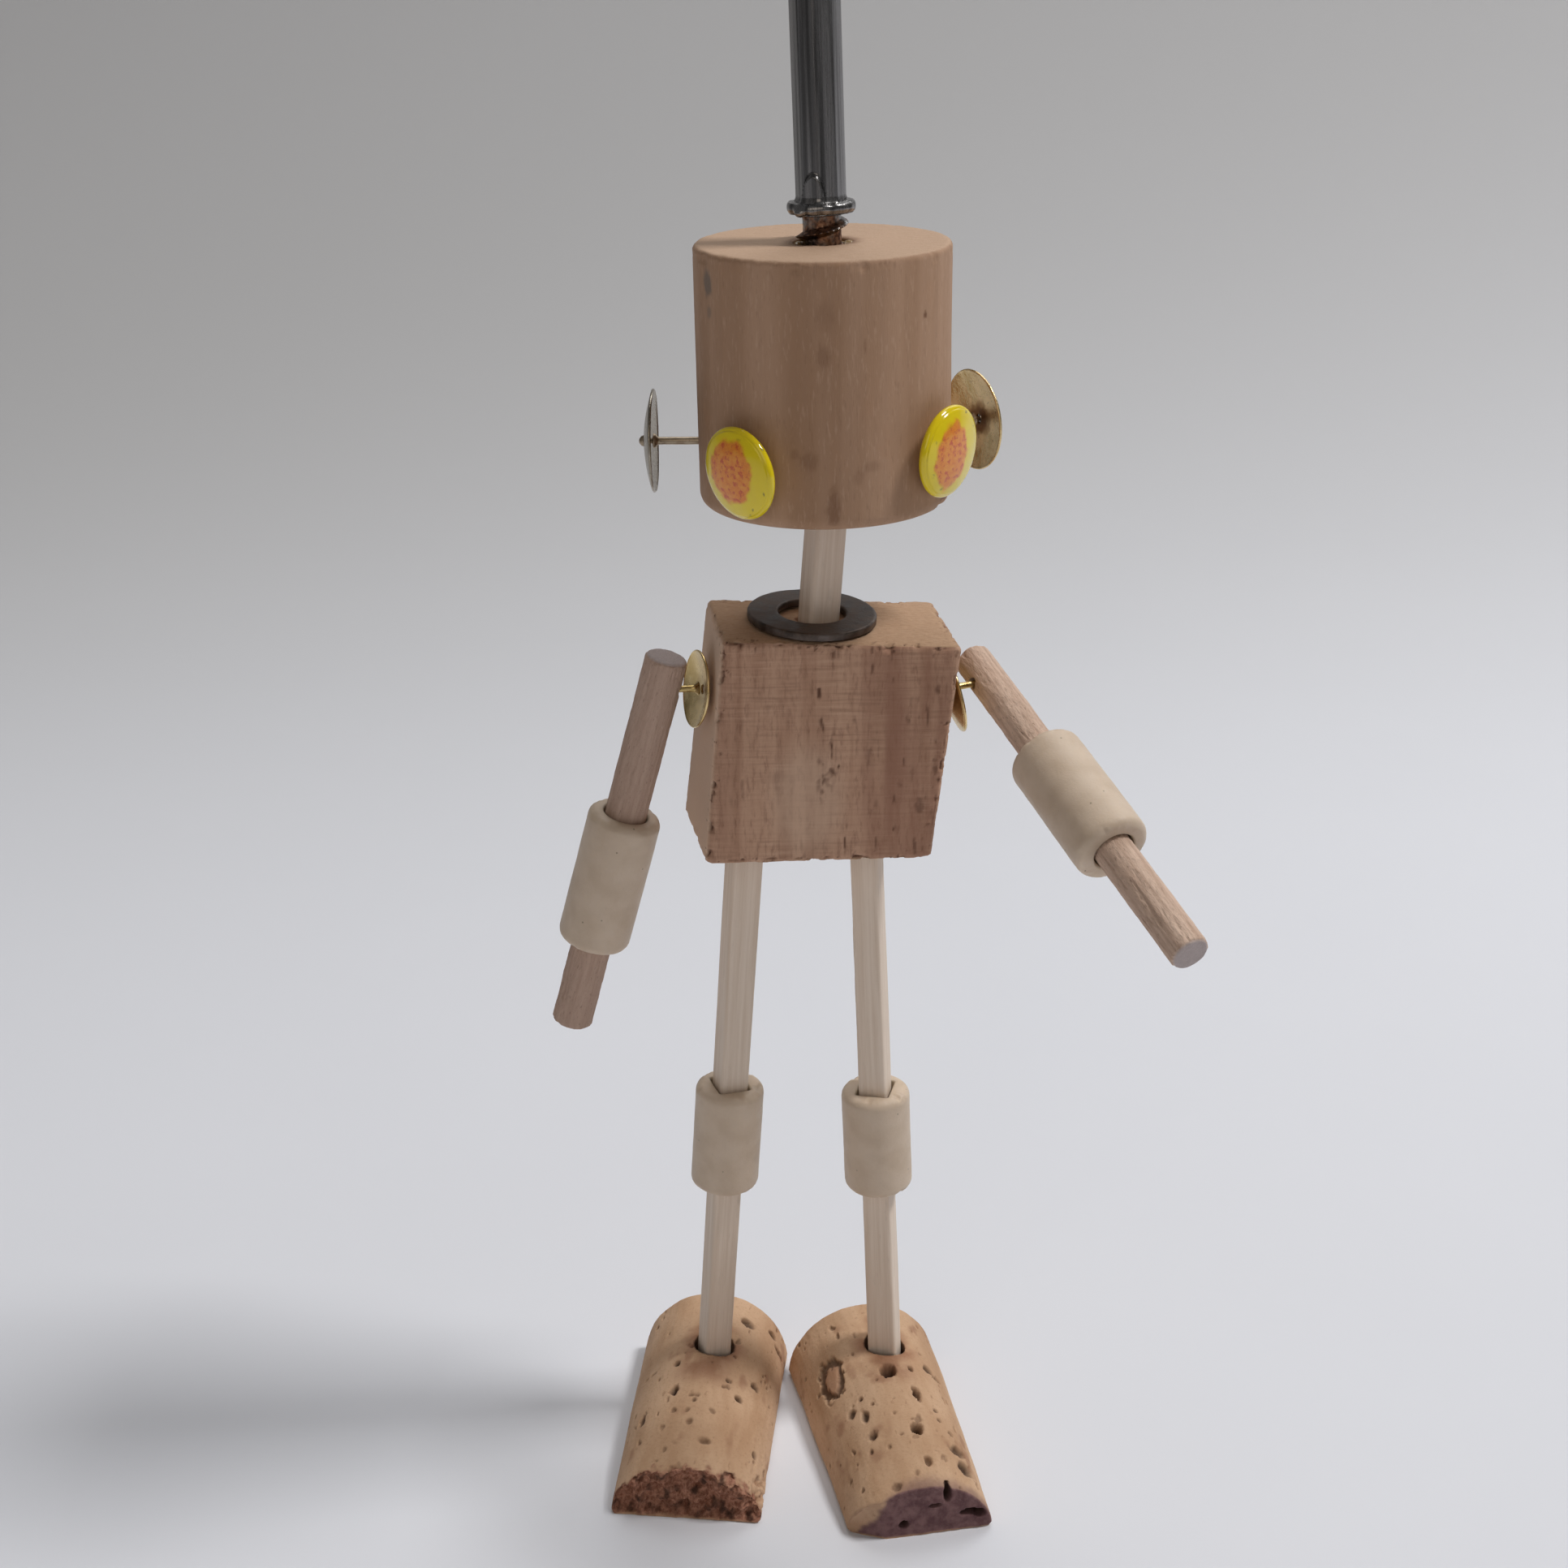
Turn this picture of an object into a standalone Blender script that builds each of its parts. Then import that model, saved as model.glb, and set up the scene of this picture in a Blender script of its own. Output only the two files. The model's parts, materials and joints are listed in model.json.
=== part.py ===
"""Craft stick puppet: a little figure of scrap wood, corks, tubes and drawing pins on a steel rod.

Lengths are millimetres, turned to metres as each mesh is made. +Z is up and the figure faces -Y.
"right" and "left" are the figure's own sides, so its right hand is on -X.
"""

import math

import bmesh
import bpy
import numpy as np
from mathutils import Matrix, Vector

MM = 0.001
GAP = 0.3  # clearance left between pieces that touch or fit into each other
SHIFT = Vector((-4.4, 13.82, 0.0))  # puts the middle of the whole figure's footprint on the origin

# Head: a slice of turned dowel
HEAD_RADIUS, HEAD_HEIGHT = 15.9, 32.3
HEAD_TOP = Vector((0.3, 0.0, 175.1))
HEAD_LEAN = -0.95  # degrees about Y, negative leans it to the figure's right
HEAD_TOP_EDGE, HEAD_BOTTOM_EDGE = 0.35, 1.4
ROD_HOLE_DEPTH = 13.4

# Control rod: hexagon foot, collar and wood-screw thread in one piece
ROD_BASE = Vector((0.15, 0.0, 178.6))  # underside of the collar
ROD_LEAN = -2.3
ROD_RADIUS, ROD_LENGTH, ROD_TIP_CHAMFER = 3.08, 62.0, 0.6
ROD_HEX_HEIGHT, ROD_HEX_SHARE, ROD_HEX_TURN = 2.8, 0.88, 223.0
ROD_FLATS = ((201, 0.94), (315, 0.96))  # direction in degrees, share of the radius
COLLAR_RADIUS, COLLAR_HEIGHT, COLLAR_BULGE = 4.25, 1.3, 0.45
THREAD_MINOR, THREAD_MAJOR, THREAD_PITCH, THREAD_LENGTH = 2.4, 3.35, 3.1, 16.0
THREAD_CREST, THREAD_POINT, POINT_SHARE, THREAD_TOP = 0.42, 4.0, 0.35, -0.6

# Neck stick and washer
STICK_SIDE, STICK_ROUND = 4.35, 0.55
NECK_FOOT = Vector((0.1, 0.0, 126.3))
NECK_LEAN, NECK_YAW = 3.8, 24.0
NECK_SHOULDER = 16.2  # from the block's top to the underside of the head
NECK_TENON_RADIUS, NECK_TENON = 2.1, 8.0
NECK_SOCKET_SPARE, NECK_CHAMFER = 1.4, 0.45
NECK_SUNK = 8.0
WASHER_CENTRE = Vector((-0.75, 0.3, 127.15))
WASHER_OUTER, WASHER_INNER, WASHER_THICK = 8.5, 4.45, 1.0
WASHER_LEAN, WASHER_PITCH = 2.8, 2.3

# Torso: a hand-sawn block, corners in order front right, front left, back left, back right
TORSO_TOP_XY = [(-12.3, -8.9), (18.6, -7.2), (15.9, 10.4), (-14.8, 7.3)]
TORSO_BOTTOM_XY = [(-14.9, -7.9), (15.4, -6.3), (12.4, 10.6), (-18.4, 8.2)]
TORSO_TOP_PLANE = (126.25, -0.0454, 0.0314)  # height at the origin, slopes along X and Y
TORSO_BOTTOM_PLANE = (95.3, 0.004, 0.06)
TORSO_HEIGHT, TORSO_EDGE = 31.0, 0.5

# Legs, knee tubes
LEG_TOPS = {"right": Vector((-9.55, 0.8, 97.5)), "left": Vector((6.7, 0.8, 97.5))}
LEG_FEET = {"right": Vector((-15.4, 0.8, 3.6)), "left": Vector((11.2, 0.8, 3.6))}
LEG_YAW = {"right": 21.0, "left": -15.0}
LEG_SUNK = 7.0
LEG_TAPER = {"right": (1.0, 0.93), "left": (0.9, 1.0)}
LEG_DEPTH_SHARE, STICK_END, STICK_END_SHARE = 0.97, 0.4, 0.85
KNEE_OUTER, KNEE_INNER, TUBE_EDGE = 4.9, 3.45, 1.0
KNEE_TOPS = {"right": 56.3, "left": 55.6}
KNEE_LENGTHS = {"right": 16.4, "left": 16.0}

# Feet: half corks
FOOT_HEEL = {"right": Vector((-15.0, 13.2, 0.0)), "left": Vector((7.5, 10.4, 0.0))}
FOOT_YAW = {"right": -5.2, "left": 11.4}  # toes outwards
FOOT_HALF_WIDTHS = {"right": (11.2, 10.8), "left": (11.5, 10.2)}  # at heel and toe
FOOT_HEIGHTS = ((0.0, 11.3), (0.45, 11.1), (0.75, 10.1), (1.0, 7.6))  # share of the length, height
FOOT_LENGTH = {"right": 38.7, "left": 39.8}
FOOT_FRONT_SLANT = 0.5
FOOT_HOLE_RADIUS, FOOT_HOLE_REACH, FOOT_HOLE_BEFORE = 3.45, 12.0, 4.0
FOOT_EDGE = 0.5

# Arms: dowels on the points of the shoulder pins
HINGES = {"right": Vector((-20.85, -3.6, 118.1)), "left": Vector((22.9, 2.3, 117.2))}
PIN_LINES = {"right": Vector((-0.986, -0.165, 0.02)), "left": Vector((0.93, 0.36, 0.05))}
ARM_LINES = {"right": Vector((-0.258, 0.03, -0.966)), "left": Vector((0.392, -0.855, -0.345))}
ARM_RADII = {"right": 2.8, "left": 2.5}
ARM_ABOVE = {"right": 4.8, "left": 4.9}
ARM_BELOW = {"right": 51.6, "left": 52.4}
ELBOW_OUTER, ELBOW_INNER = 4.95, 3.15
ELBOW_TOPS = {"right": 18.4, "left": 15.6}  # distance below the hinge
ELBOW_LENGTHS = {"right": 19.9, "left": 18.6}

# Drawing pins
PIN_RADIUS, PIN_TIP = 0.5, 1.6
PIN_NECK, PIN_HOLE, RIVET_RADIUS = 0.35, 0.65, 0.95
SHELL_THICK, SHELL_CURVE = 0.4, 1.7
SHOULDER_SHELL_RADIUS, SHOULDER_SHELL_DEPTH = 5.2, 1.15
SHOULDER_SHELLS = {"right": Vector((-15.95, -2.7, 117.9)), "left": Vector((18.2, 0.9, 115.8))}
SHOULDER_NORMALS = {"right": Vector((-0.935, -0.32, 0.15)), "left": Vector((0.955, 0.2, 0.2))}
SHOULDER_PIN_IN_ARM = 1.6  # how far the point goes past the dowel's middle line
EAR_SHELL_RADIUS, EAR_SHELL_DEPTH = 6.55, 1.1
EARS = {"right": Vector((-20.9, 0.0, 150.3)), "left": Vector((20.1, 7.2, 151.4))}
EAR_NORMALS = {"right": Vector((-1.0, 0.02, -0.01)), "left": Vector((0.882, 0.469, 0.048))}
EAR_PIN_LENGTH = 11.0
EYE_RADIUS, EYE_HEIGHT, EYE_LIP, EYE_SEAT = 5.75, 2.0, 0.85, 0.2
EYES = {"right": Vector((-9.2, -13.7, 149.8)), "left": Vector((15.1, -8.95, 151.3))}
EYE_NORMALS = {"right": Vector((-0.703, -0.705, -0.099)), "left": Vector((0.786, -0.615, -0.066))}
EYE_PIN_LENGTH = 6.5

COLOURS = {
    "turned_wood": ((0.50, 0.36, 0.26), 0.7, 0.0),
    "sawn_wood": ((0.22, 0.13, 0.10), 0.85, 0.0),
    "stick_wood": ((0.62, 0.52, 0.40), 0.7, 0.0),
    "dowel_wood": ((0.42, 0.31, 0.25), 0.85, 0.0),
    "tube_plastic": ((0.68, 0.66, 0.56), 0.5, 0.0),
    "brass": ((0.70, 0.56, 0.28), 0.25, 1.0),
    "pin_steel": ((0.35, 0.33, 0.30), 0.35, 1.0),
    "yellow_enamel": ((0.75, 0.65, 0.03), 0.2, 0.0),
    "washer_steel": ((0.05, 0.04, 0.035), 0.5, 0.6),
    "rod_steel": ((0.30, 0.31, 0.32), 0.25, 1.0),
    "cork": ((0.55, 0.36, 0.21), 0.85, 0.0),
}


def clear_scene():
    for obj in list(bpy.data.objects):
        bpy.data.objects.remove(obj)


def material(slot):
    found = bpy.data.materials.get(slot)
    if found:
        return found
    colour, roughness, metallic = COLOURS[slot]
    made = bpy.data.materials.new(slot)
    made.use_nodes = True
    shader = made.node_tree.nodes["Principled BSDF"]
    shader.inputs["Base Color"].default_value = (*colour, 1.0)
    shader.inputs["Roughness"].default_value = roughness
    shader.inputs["Metallic"].default_value = metallic
    return made


def pose(point, up, yaw=0.0):
    """A frame at a point with its Z along up; yaw turns it about that Z."""
    up = Vector(up).normalized()
    side = Vector((0.0, 1.0, 0.0)).cross(up)
    if side.length < 0.1:
        side = Vector((1.0, 0.0, 0.0))
    side.normalize()
    front = up.cross(side)
    turn = Matrix((side, front, up)).transposed().to_4x4()
    turn = turn @ Matrix.Rotation(math.radians(yaw), 4, "Z")
    turn.translation = (Vector(point) + SHIFT) * MM
    return turn


def leaning(lean, pitch=0.0):
    """The direction of an upright that leans about Y, then about X."""
    return (
        Matrix.Rotation(math.radians(lean), 3, "Y") @ Matrix.Rotation(math.radians(pitch), 3, "X")
    ) @ Vector((0.0, 0.0, 1.0))


def solid(name, verts, faces, frame, slot=None, smooth=True):
    """One closed mesh from points in millimetres of its own frame. Without a slot it's a cutter."""
    mesh = bpy.data.meshes.new(name)
    mesh.from_pydata([Vector(v) * MM for v in verts], [], faces)
    work = bmesh.new()
    work.from_mesh(mesh)
    bmesh.ops.recalc_face_normals(work, faces=work.faces)
    work.to_mesh(mesh)
    work.free()
    if smooth:
        mesh.shade_smooth()
        mesh.set_sharp_from_angle(angle=math.radians(38))
    obj = bpy.data.objects.new(name, mesh)
    obj.matrix_world = frame
    bpy.context.scene.collection.objects.link(obj)
    if slot:
        mesh.materials.append(material(slot))
    else:
        obj.hide_render = True
        obj.display_type = "WIRE"
    return obj


def lofted(rings):
    """Points and faces of a solid through rings of equal count, closed at both ends."""
    count = len(rings[0])
    verts = [point for ring in rings for point in ring]
    faces = [list(range(count))[::-1]]
    for k in range(len(rings) - 1):
        for i in range(count):
            j = (i + 1) % count
            a, b = k * count, (k + 1) * count
            faces.append([a + i, a + j, b + j, b + i])
    faces.append([(len(rings) - 1) * count + i for i in range(count)])
    return verts, faces


def turned(profile, segments=32):
    """A lathed solid: (radius, height) pairs from the bottom of the axis to its top."""
    rings = []
    for radius, height in profile:
        rings.append([
            (radius * math.cos(a), radius * math.sin(a), height)
            for a in np.linspace(0, 2 * math.pi, segments, endpoint=False)
        ])
    return lofted(rings)


def turned_ring(loop, segments=32):
    """A lathed ring: (radius, height) pairs round a closed section that stays off the axis."""
    count = len(loop)
    verts = [
        (r * math.cos(a), r * math.sin(a), z)
        for a in np.linspace(0, 2 * math.pi, segments, endpoint=False)
        for r, z in loop
    ]
    faces = []
    for s in range(segments):
        a, b = s * count, ((s + 1) % segments) * count
        for i in range(count):
            j = (i + 1) % count
            faces.append([a + i, b + i, b + j, a + j])
    return verts, faces


def cut(obj, cutter):
    modifier = obj.modifiers.new("cut_" + cutter.name, "BOOLEAN")
    modifier.operation = "DIFFERENCE"
    modifier.solver = "EXACT"
    modifier.object = cutter


def bore(name, obj, mouth, inwards, radius, depth, before=1.0, segments=20):
    """A round blind hole from a mouth on the surface; the cutter starts outside it."""
    profile = [(radius, -before), (radius, depth)]
    cut(obj, solid(name, *turned(profile, segments), pose(mouth, inwards)))


def soft_square(width, depth, edge, steps=4):
    """Corner-rounded rectangle, anticlockwise."""
    points = []
    for k, (sx, sy) in enumerate([(1, 1), (-1, 1), (-1, -1), (1, -1)]):
        for a in np.linspace(0, math.pi / 2, steps):
            turn = a + k * math.pi / 2
            points.append((
                sx * (width / 2 - edge) + edge * math.cos(turn),
                sy * (depth / 2 - edge) + edge * math.sin(turn),
            ))
    return points


def clipped(corners, edge):
    """A polygon with each corner cut back along both sides."""
    points = []
    for i, corner in enumerate(corners):
        here = Vector(corner)
        for other in (corners[i - 1], corners[(i + 1) % len(corners)]):
            points.append(here + (Vector(other) - here).normalized() * edge)
    return points


def shrunk(points, amount):
    middle = sum(points, Vector((0.0, 0.0))) / len(points)
    return [p + (middle - p).normalized() * amount for p in points]


# ---------------------------------------------------------------- head and rod


def make_head():
    up = leaning(HEAD_LEAN)
    t, b, h = HEAD_TOP_EDGE, HEAD_BOTTOM_EDGE, HEAD_HEIGHT
    profile = [(HEAD_RADIUS - b, -h)]
    for a in (30, 60):
        turn = math.radians(a)
        profile.append((HEAD_RADIUS - b + b * math.sin(turn), -h + b - b * math.cos(turn)))
    profile += [(HEAD_RADIUS, b - h), (HEAD_RADIUS, -t), (HEAD_RADIUS - t, 0.0)]
    head = solid("head_block", *turned(profile, 64), pose(HEAD_TOP, up), "turned_wood")
    bore("rod_hole", head, HEAD_TOP, -up, THREAD_MAJOR + GAP, ROD_HOLE_DEPTH)
    socket = NECK_FOOT + leaning(NECK_LEAN) * (NECK_SHOULDER - 0.5)
    bore("neck_socket", head, socket, leaning(NECK_LEAN), NECK_TENON_RADIUS + GAP,
         NECK_TENON + NECK_SOCKET_SPARE)
    for side in ("right", "left"):
        normal = EAR_NORMALS[side].normalized()
        bore(side + "_ear_hole", head, EARS[side] - normal * 2.0, -normal, PIN_RADIUS + GAP,
             EAR_PIN_LENGTH - 2.0 + GAP)
        normal = EYE_NORMALS[side].normalized()
        bore(side + "_eye_hole", head, EYES[side], -normal, PIN_RADIUS + GAP, EYE_PIN_LENGTH + GAP)
    return head


def rod_radius(angle, height):
    """Surface of the rod about its axis; height 0 is the underside of the collar."""
    if height <= THREAD_TOP:
        phase = (angle / (2 * math.pi) - height / THREAD_PITCH) % 1.0
        crest = max(0.0, 1.0 - abs(2 * phase - 1) / THREAD_CREST)
        tip = min(1.0, (height + THREAD_LENGTH) / THREAD_POINT)
        radius = THREAD_MINOR + (THREAD_MAJOR - THREAD_MINOR) * crest
        return radius * (POINT_SHARE + (1 - POINT_SHARE) * tip)
    if height < COLLAR_HEIGHT:
        bulge = math.sqrt(max(0.0, 1 - (2 * height / COLLAR_HEIGHT - 1) ** 2))
        rim = COLLAR_RADIUS - COLLAR_BULGE * (1 - bulge)
        return rim if height >= 0 else THREAD_MINOR + GAP
    flat = ROD_HEX_SHARE * ROD_RADIUS
    sixth = math.pi / 3
    off = (angle - math.radians(ROD_HEX_TURN)) % sixth
    hexagon = flat / math.cos(min(off, sixth - off))
    end = COLLAR_HEIGHT + ROD_HEX_HEIGHT
    blend = min(1.0, max(0.0, (height - end) / 0.5))
    shaft = ROD_RADIUS
    for direction, share in ROD_FLATS:
        turn = math.cos(angle - math.radians(direction))
        if turn > 0:
            shaft = min(shaft, share * ROD_RADIUS / turn)
    return min(hexagon, ROD_RADIUS) * (1 - blend) + shaft * blend


def make_rod():
    heights = list(np.arange(-THREAD_LENGTH, THREAD_TOP, 0.5)) + [THREAD_TOP, -0.02]
    heights += [h * COLLAR_HEIGHT for h in (0.0, 0.15, 0.5, 0.85, 0.999)]
    top = COLLAR_HEIGHT + ROD_LENGTH
    hex_end = COLLAR_HEIGHT + ROD_HEX_HEIGHT
    heights += [COLLAR_HEIGHT, hex_end, hex_end + 0.25, hex_end + 0.5, top - ROD_TIP_CHAMFER, top]
    rings = []
    for height in heights:
        ring = []
        for angle in np.linspace(0, 2 * math.pi, 36, endpoint=False):
            radius = rod_radius(angle, height) - (ROD_TIP_CHAMFER if height == top else 0.0)
            ring.append((radius * math.cos(angle), radius * math.sin(angle), height))
        rings.append(ring)
    frame = pose(ROD_BASE, leaning(ROD_LEAN))
    return solid("control_rod", *lofted(rings), frame, "rod_steel")


def make_eye(side):
    normal = EYE_NORMALS[side].normalized()
    r, h = EYE_RADIUS, EYE_HEIGHT
    profile = [(r - 0.45, 0.0), (r - 0.1, 0.15), (r, 0.5), (r - 0.2, EYE_LIP)]
    for share in (0.82, 0.62, 0.4, 0.2):
        profile.append((r * share, EYE_LIP + (h - EYE_LIP) * (1 - share**2)))
    profile.append((0.3, h))
    seat = EYES[side] + normal * EYE_SEAT
    cap = solid(side + "_eye_cap", *turned(profile, 40), pose(seat, normal), "yellow_enamel")
    bore(side + "_cap_seat", cap, seat, normal, PIN_RADIUS + GAP, 1.2)
    profile = [(0.08, -EYE_PIN_LENGTH), (PIN_RADIUS, PIN_TIP - EYE_PIN_LENGTH), (PIN_RADIUS, 1.1)]
    solid(side + "_eye_pin", *turned(profile, 16), pose(EYES[side], normal), "pin_steel")


def shell_loop(radius, depth):
    """Section of a dished brass disc; its rim is at height 0 and its crown at depth."""
    shares = np.linspace(0, 1, 6)
    span = radius - PIN_HOLE
    outer, inner = [], []
    for share in shares:
        r = PIN_HOLE + span * share
        rise = depth * (1 - share**SHELL_CURVE)
        outer.append((r, rise + (0.0 if share < 1 else 0.12)))
        inner.append((r - (0.0 if share < 1 else 0.15), rise - SHELL_THICK))
    return inner + outer[::-1]


def make_ear(side):
    normal = EAR_NORMALS[side].normalized()
    frame = pose(EARS[side], normal)
    loop = shell_loop(EAR_SHELL_RADIUS, EAR_SHELL_DEPTH)
    solid(side + "_ear_shell", *turned_ring(loop, 40), frame, "brass")
    crown = EAR_SHELL_DEPTH
    profile = [
        (0.08, -EAR_PIN_LENGTH), (PIN_RADIUS, PIN_TIP - EAR_PIN_LENGTH),
        (PIN_RADIUS, crown - SHELL_THICK - GAP - 0.9), (RIVET_RADIUS, crown - SHELL_THICK - GAP - 0.5),
        (RIVET_RADIUS, crown - SHELL_THICK - GAP), (PIN_NECK, crown - SHELL_THICK - GAP),
        (PIN_NECK, crown + GAP), (0.75, crown + GAP), (0.15, crown + GAP + 0.45),
    ]
    solid(side + "_ear_pin", *turned(profile, 16), frame, "pin_steel")


# ---------------------------------------------------------------- neck and torso


def make_neck():
    up = leaning(NECK_LEAN)
    s = STICK_SIDE
    rings = []
    for height, share in ((-NECK_SUNK, STICK_END_SHARE), (-NECK_SUNK + 0.5, 1.0),
                          (NECK_SHOULDER - 0.75, 1.0), (NECK_SHOULDER - NECK_CHAMFER, 0.93)):
        rings.append([(x * share, y * share, height) for x, y in soft_square(s, s, STICK_ROUND)])
    top = NECK_SHOULDER + NECK_TENON
    for height, trim in ((NECK_SHOULDER - NECK_CHAMFER, 0.0), (top - 0.5, 0.0), (top, 0.4)):
        ring = []
        for x, y in soft_square(s, s, STICK_ROUND):
            share = (NECK_TENON_RADIUS - trim) / math.hypot(x, y)
            ring.append((x * share, y * share, height))
        rings.append(ring)
    solid("neck_stick", *lofted(rings), pose(NECK_FOOT, up, NECK_YAW), "stick_wood")


def make_washer():
    o, i, t, e = WASHER_OUTER, WASHER_INNER, WASHER_THICK / 2, 0.18
    loop = [(i + e, -t), (o - e, -t), (o, -t + e), (o, t - e), (o - e, t), (i + e, t), (i, t - e),
            (i, -t + e)]
    frame = pose(WASHER_CENTRE, leaning(WASHER_LEAN, WASHER_PITCH))
    solid("neck_washer", *turned_ring(loop, 48), frame, "washer_steel")


def torso_ring(share, inset):
    """The block's outline at a share of its height, clipped at the corners and drawn in by inset."""
    corners = []
    for top, bottom in zip(TORSO_TOP_XY, TORSO_BOTTOM_XY):
        corners.append(Vector(bottom).lerp(Vector(top), share))
    ring = []
    for point in shrunk(clipped(corners, TORSO_EDGE), inset):
        low = TORSO_BOTTOM_PLANE[0] + Vector(TORSO_BOTTOM_PLANE[1:]).dot(point)
        high = TORSO_TOP_PLANE[0] + Vector(TORSO_TOP_PLANE[1:]).dot(point)
        ring.append((point.x, point.y, low + (high - low) * share))
    return ring


def make_torso():
    edge = TORSO_EDGE / TORSO_HEIGHT
    rings = [torso_ring(0, TORSO_EDGE), torso_ring(edge, 0.0), torso_ring(1 - edge, 0.0),
             torso_ring(1, TORSO_EDGE)]
    frame = Matrix.Translation(SHIFT * MM)
    block = solid("torso_block", *lofted(rings), frame, "sawn_wood", smooth=False)
    s = STICK_SIDE + 2 * GAP
    square = soft_square(s, s, STICK_ROUND)
    rings = [[(x, y, h) for x, y in square] for h in (-NECK_SUNK - GAP, 3.0)]
    cut(block, solid("neck_mortise", *lofted(rings), pose(NECK_FOOT, leaning(NECK_LEAN), NECK_YAW)))
    for side in ("right", "left"):
        top = LEG_TOPS[side]
        up = top - LEG_FEET[side]
        rings = [[(x, y, h) for x, y in square] for h in (-8.0, LEG_SUNK + GAP)]
        cut(block, solid(side + "_leg_mortise", *lofted(rings), pose(top, up, LEG_YAW[side])))


# ---------------------------------------------------------------- legs and feet


def make_leg(side):
    top, foot = LEG_TOPS[side], LEG_FEET[side]
    length = (top - foot).length
    upper, lower = LEG_TAPER[side]
    rings = []
    for height, trim in ((-length, STICK_END_SHARE), (STICK_END - length, 1.0), (-length / 2, 1.0),
                         (0.0, 1.0), (LEG_SUNK - STICK_END, 1.0), (LEG_SUNK, STICK_END_SHARE)):
        along = min(1.0, max(0.0, -height / length))
        width = STICK_SIDE * (upper * (1 - along) + lower * along)
        ring = soft_square(width, STICK_SIDE * LEG_DEPTH_SHARE, STICK_ROUND)
        rings.append([(x * trim, y * trim, height) for x, y in ring])
    frame = pose(top, top - foot, LEG_YAW[side])
    solid(side + "_leg_stick", *lofted(rings), frame, "stick_wood")


def tube_loop(outer, inner, length, edge):
    """Section of a tube with rounded outer ends, its top at height 0."""
    loop = [(inner, -length + 0.2), (inner + 0.2, -length)]
    for a in (0, 30, 60, 90):
        turn = math.radians(a)
        loop.append((outer - edge + edge * math.sin(turn), -length + edge - edge * math.cos(turn)))
    for a in (0, 30, 60, 90):
        turn = math.radians(a)
        loop.append((outer - edge + edge * math.cos(turn), -edge + edge * math.sin(turn)))
    return loop + [(inner + 0.2, 0.0), (inner, -0.2)]


def make_knee(side):
    top, foot = LEG_TOPS[side], LEG_FEET[side]
    share = (KNEE_TOPS[side] - foot.z) / (top.z - foot.z)
    loop = tube_loop(KNEE_OUTER, KNEE_INNER, KNEE_LENGTHS[side], TUBE_EDGE)
    frame = pose(foot.lerp(top, share), top - foot)
    solid(side + "_knee_tube", *turned_ring(loop, 32), frame, "tube_plastic")


def foot_ring(side, along, inset):
    """Half-round outline across the cork at a distance from the heel."""
    share = -along / FOOT_LENGTH[side]
    half = (1 - share) * FOOT_HALF_WIDTHS[side][0] + share * FOOT_HALF_WIDTHS[side][1] - inset
    height = np.interp(share, *zip(*FOOT_HEIGHTS)) - inset
    points = [(-half + 0.5, along, inset), (half - 0.5, along, inset)]
    for a in np.linspace(4, 176, 23):
        turn = math.radians(a)
        points.append((half * math.cos(turn), along, inset + (height - inset) * math.sin(turn)))
    return points


def make_foot(side):
    length = FOOT_LENGTH[side]
    rings = [foot_ring(side, 0.0, FOOT_EDGE), foot_ring(side, -FOOT_EDGE, 0.0)]
    rings += [foot_ring(side, -length * share, 0.0) for share, _ in FOOT_HEIGHTS[1:-1]]
    toe_height = FOOT_HEIGHTS[-1][1]
    for along, inset in ((-length + FOOT_EDGE, 0.0), (-length, FOOT_EDGE)):
        rings.append([(x, y + FOOT_FRONT_SLANT * z / toe_height, z)
                      for x, y, z in foot_ring(side, along, inset)])
    frame = pose(FOOT_HEEL[side], (0, 0, 1), FOOT_YAW[side])
    foot = solid(side + "_foot_cork", *lofted(rings), frame, "cork")
    top, end = LEG_TOPS[side], LEG_FEET[side]
    up = (top - end).normalized()
    bore(side + "_ankle_hole", foot, end + up * FOOT_HOLE_REACH, -up, FOOT_HOLE_RADIUS,
         FOOT_HOLE_REACH + GAP, FOOT_HOLE_BEFORE)


# ---------------------------------------------------------------- arms


def make_arm(side):
    line = ARM_LINES[side].normalized()
    r, above, below = ARM_RADII[side], ARM_ABOVE[side], ARM_BELOW[side]
    profile = [(r - 0.35, -below), (r, 0.3 - below), (r, above - 0.3), (r - 0.35, above)]
    arm = solid(side + "_arm_dowel", *turned(profile, 32), pose(HINGES[side], -line), "dowel_wood")
    pin = PIN_LINES[side].normalized()
    mouth = HINGES[side] - pin * (r + 1.5)
    bore(side + "_arm_pin_hole", arm, mouth, pin, PIN_RADIUS + GAP,
         r + 1.5 + SHOULDER_PIN_IN_ARM + GAP, segments=24)
    loop = tube_loop(ELBOW_OUTER, ELBOW_INNER, ELBOW_LENGTHS[side], TUBE_EDGE)
    frame = pose(HINGES[side] + line * ELBOW_TOPS[side], -line)
    solid(side + "_elbow_tube", *turned_ring(loop, 32), frame, "tube_plastic")


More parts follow.
